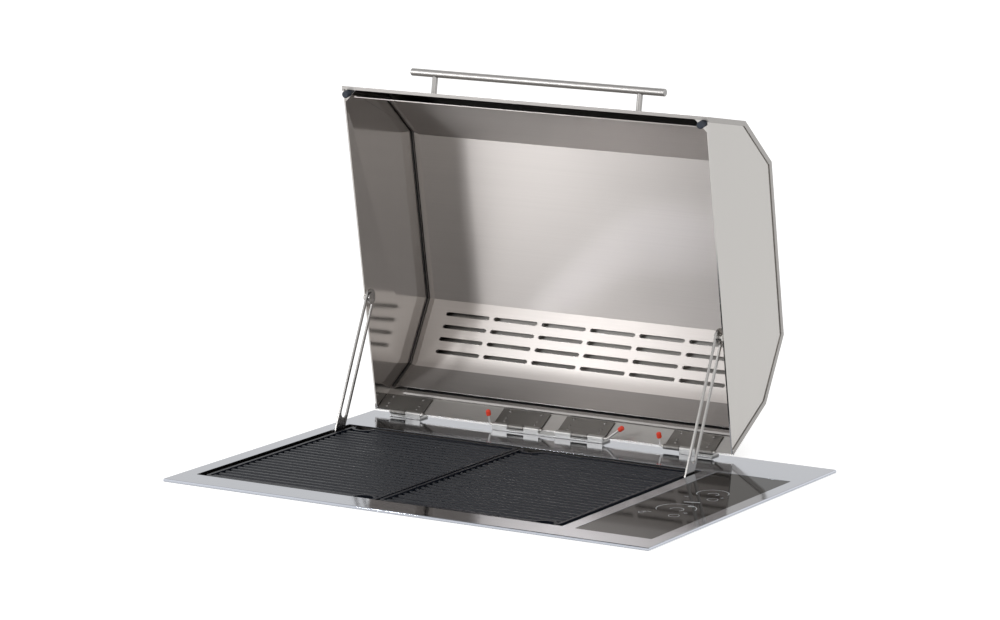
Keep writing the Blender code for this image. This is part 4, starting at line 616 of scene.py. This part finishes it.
VENT_TOP = (374.51 * MM, 240.82 * MM)
VENT_SLOPE = (0.4959, 0.8684)
VENT_FIRST_ROW = 20.3 * MM
VENT_ROW_PITCH = 19 * MM
VENT_FIRST_COLUMN = -271.85 * MM
VENT_COLUMN_PITCH = 78.5 * MM
VENT_SIZES = {"Length": 72.6 * MM, "Width": 6.3 * MM, "Bead": 0.3 * MM}
vent_spots = []
for column in range(6):
    for row in range(4):
        across = VENT_FIRST_COLUMN + column * VENT_COLUMN_PITCH
        down = VENT_FIRST_ROW + row * VENT_ROW_PITCH
        vent_spots.append(down_slope(across, VENT_TOP, VENT_SLOPE, down))
scatter(
    "vent_rims", slot_rim, VENT_SIZES, vent_spots, (0, -VENT_SLOPE[1], VENT_SLOPE[0]),
    bright_steel, "lid",
)
print("rivets", len(rivet_spots), "and rims", len(vent_spots))

# %% [markdown]
# ## Marks on the glass
# The touch panel has two round dials, a bar between them and small signs for more and less.  They are thin
# ribbons of white enamel a few hundredths of a millimetre above the glass.

# %% Glass marks
MARK_WIDTH = 0.8 * MM
MARK_LIFT = 0.04 * MM
glass_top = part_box("glass_panel")[1].z + MARK_LIFT


def ribbon(work, line, width):
    """A flat ribbon along a line of points on the glass."""
    sides = []
    for index, spot in enumerate(line):
        before = line[max(index - 1, 0)]
        after = line[min(index + 1, len(line) - 1)]
        along = (Vector(after) - Vector(before)).normalized()
        out = Vector((-along.y, along.x)) * width / 2
        left = work.verts.new((spot[0] + out.x, spot[1] + out.y, glass_top))
        right_side = work.verts.new((spot[0] - out.x, spot[1] - out.y, glass_top))
        sides.append((left, right_side))
    for first, second in zip(sides, sides[1:]):
        work.faces.new((first[0], first[1], second[1], second[0]))


def arc_line(middle, radius, start, end, steps=40):
    """Points along an arc, with its angles in degrees from the x axis."""
    turns = [math.radians(start + (end - start) * step / steps) for step in range(steps + 1)]
    return [
        (middle[0] + radius * math.cos(turn), middle[1] + radius * math.sin(turn))
        for turn in turns
    ]


def stroke(middle, length, degrees):
    """The two ends of a short straight mark."""
    turn = math.radians(degrees)
    reach = Vector((math.cos(turn), math.sin(turn))) * length / 2
    return [tuple(Vector(middle) - reach), tuple(Vector(middle) + reach)]


FRONT_DIAL = (291.5 * MM, -53 * MM)
REAR_DIAL = (291.5 * MM, 46 * MM)
DIAL_START, DIAL_END = 5, 222
INNER_ARC_SHARE = 0.35
INNER_ARC_SHIFT = (2.5 * MM, -3.5 * MM)
INNER_ARC_START, INNER_ARC_END = -40, 190
BUTTON_ACROSS = 16 * MM
BUTTON_BELOW = 10 * MM
BUTTON_RADIUS = 7 * MM
SIGN_ACROSS = 22 * MM
SIGN_BELOW = 24 * MM
SIGN_STAGGER = 8 * MM
SIGN_LENGTH = 6 * MM
BARS = ((21 * MM, (291.5 * MM, -11 * MM)), (9 * MM, (302.5 * MM, -33 * MM)))
BAR_SLANT = 18
BAR_WIDTH = MARK_WIDTH * 3
BUTTON_LINE = MARK_WIDTH * 0.7
SWITCH_LINE = MARK_WIDTH * 0.8
SWITCH_MIDDLE = (264 * MM, -93 * MM)
SWITCH_RADIUS = 5 * MM
SWITCH_STROKE = 7 * MM
marks = bmesh.new()
for middle, radius in ((FRONT_DIAL, 26 * MM), (REAR_DIAL, 21 * MM)):
    ribbon(marks, arc_line(middle, radius, DIAL_START, DIAL_END), MARK_WIDTH)
    inner = (middle[0] + INNER_ARC_SHIFT[0], middle[1] + INNER_ARC_SHIFT[1])
    inner_arc = arc_line(inner, radius * INNER_ARC_SHARE, INNER_ARC_START, INNER_ARC_END)
    ribbon(marks, inner_arc, MARK_WIDTH)
    button = (middle[0] + BUTTON_ACROSS, middle[1] - radius - BUTTON_BELOW)
    ribbon(marks, arc_line(button, BUTTON_RADIUS, 0, 360), BUTTON_LINE)
    for side, turns in ((-1, (0,)), (1, (0, 90))):
        sign = (middle[0] + side * SIGN_ACROSS, middle[1] - SIGN_BELOW + side * SIGN_STAGGER)
        for degrees in turns:
            ribbon(marks, stroke(sign, SIGN_LENGTH, degrees), MARK_WIDTH)
for length, place in BARS:
    ribbon(marks, stroke(place, length, BAR_SLANT), BAR_WIDTH)
ribbon(marks, arc_line(SWITCH_MIDDLE, SWITCH_RADIUS, 30, 330), SWITCH_LINE)
switch_top = (SWITCH_MIDDLE[0], SWITCH_MIDDLE[1] + SWITCH_RADIUS)
ribbon(marks, stroke(switch_top, SWITCH_STROKE, 90), SWITCH_LINE)
glass_marks = built(marks, "glass_marks", white_enamel)
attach(glass_marks, BODY_OF["glass_panel"])

# %% [markdown]
# ## Painted shadow strips beside the liner
# A black line runs round both ends of the liner, where its flared sides stop short of the side sheets, and
# along its rear edge, above the rail.  These lines are shadow in gaps; thin black strips are put in them as
# painted shadow, and are no parts of the lid.  The lines are read as beads of black silicone, which is a
# guess: they could also be gaps in shadow.

# %% Painted shadow strips
# The liner's folds, as y and z in millimetres, from the front lip down to the rear edge.
FOLDS = [
    (171, 558.1), (262.6, 543.3), (330.2, 486.6), (374.5, 240.8), (325.1, 154.3), (280.4, 128.2),
]
SHADOW_STRIP_RISE = 1.5 * MM
SHADOW_STRIP_THICK = 1 * MM
SHADOW_STRIP_ACROSS = {"left": (-348.7 * MM, -347.1 * MM), "right": (214.6 * MM, 216.2 * MM)}
REAR_STRIP_UP = 2.4 * MM
REAR_STRIP_DOWN = 3.6 * MM
REAR_STRIP_LIFT = (0.3 * MM, 1.1 * MM)


def shifted(line, distance):
    """The line moved sideways towards the inside of the lid, with its corners kept."""
    moved = []
    for index, spot in enumerate(line):
        arms = []
        if index:
            arms.append((spot - line[index - 1]).normalized())
        if index < len(line) - 1:
            arms.append((line[index + 1] - spot).normalized())
        normals = [Vector((arm.y, -arm.x)) for arm in arms]
        mitre = sum(normals, Vector((0, 0))).normalized()
        moved.append(spot + mitre * distance / mitre.dot(normals[0]))
    return moved


def bead(name, rings):
    """A four-sided black bar through rings of corners, closed at both ends: a strip of painted shadow."""
    work = bmesh.new()
    loops = [[work.verts.new(place) for place in ring] for ring in rings]
    for first, second in zip(loops, loops[1:]):
        for corner in range(4):
            after = (corner + 1) % 4
            work.faces.new((first[corner], first[after], second[after], second[corner]))
    work.faces.new(loops[0])
    work.faces.new(loops[-1][::-1])
    bmesh.ops.recalc_face_normals(work, faces=work.faces)
    made = built(work, name, shadow_strip_black)
    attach(made, "lid")


fold_line = [Vector((y * MM, z * MM)) for y, z in FOLDS]
upper = shifted(fold_line, SHADOW_STRIP_RISE)
lower = shifted(fold_line, SHADOW_STRIP_RISE - SHADOW_STRIP_THICK)
# Painted shadow: a black strip at each end of the liner, in the gap beside the side sheet.
for side, (near, far) in SHADOW_STRIP_ACROSS.items():
    bead(f"liner_shadow_strip_{side}", [
        ((near, *spot), (far, *spot), (far, *deep), (near, *deep))
        for spot, deep in zip(upper, lower)
    ])

# Painted shadow: a black strip along the liner's rear edge, in the gap above the rail.
rail_low, rail_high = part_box("liner_rear_rail")
downhill = (fold_line[-1] - fold_line[-2]).normalized()
off_sheet = Vector((downhill.y, -downhill.x))
strip_start = fold_line[-1] - downhill * REAR_STRIP_UP
strip_end = fold_line[-1] + downhill * REAR_STRIP_DOWN
section = [
    strip_start + off_sheet * REAR_STRIP_LIFT[0], strip_start + off_sheet * REAR_STRIP_LIFT[1],
    strip_end + off_sheet * REAR_STRIP_LIFT[1], strip_end + off_sheet * REAR_STRIP_LIFT[0],
]
bead("liner_rear_shadow_strip", [[(x, *spot) for spot in section] for x in (rail_low.x, rail_high.x)])
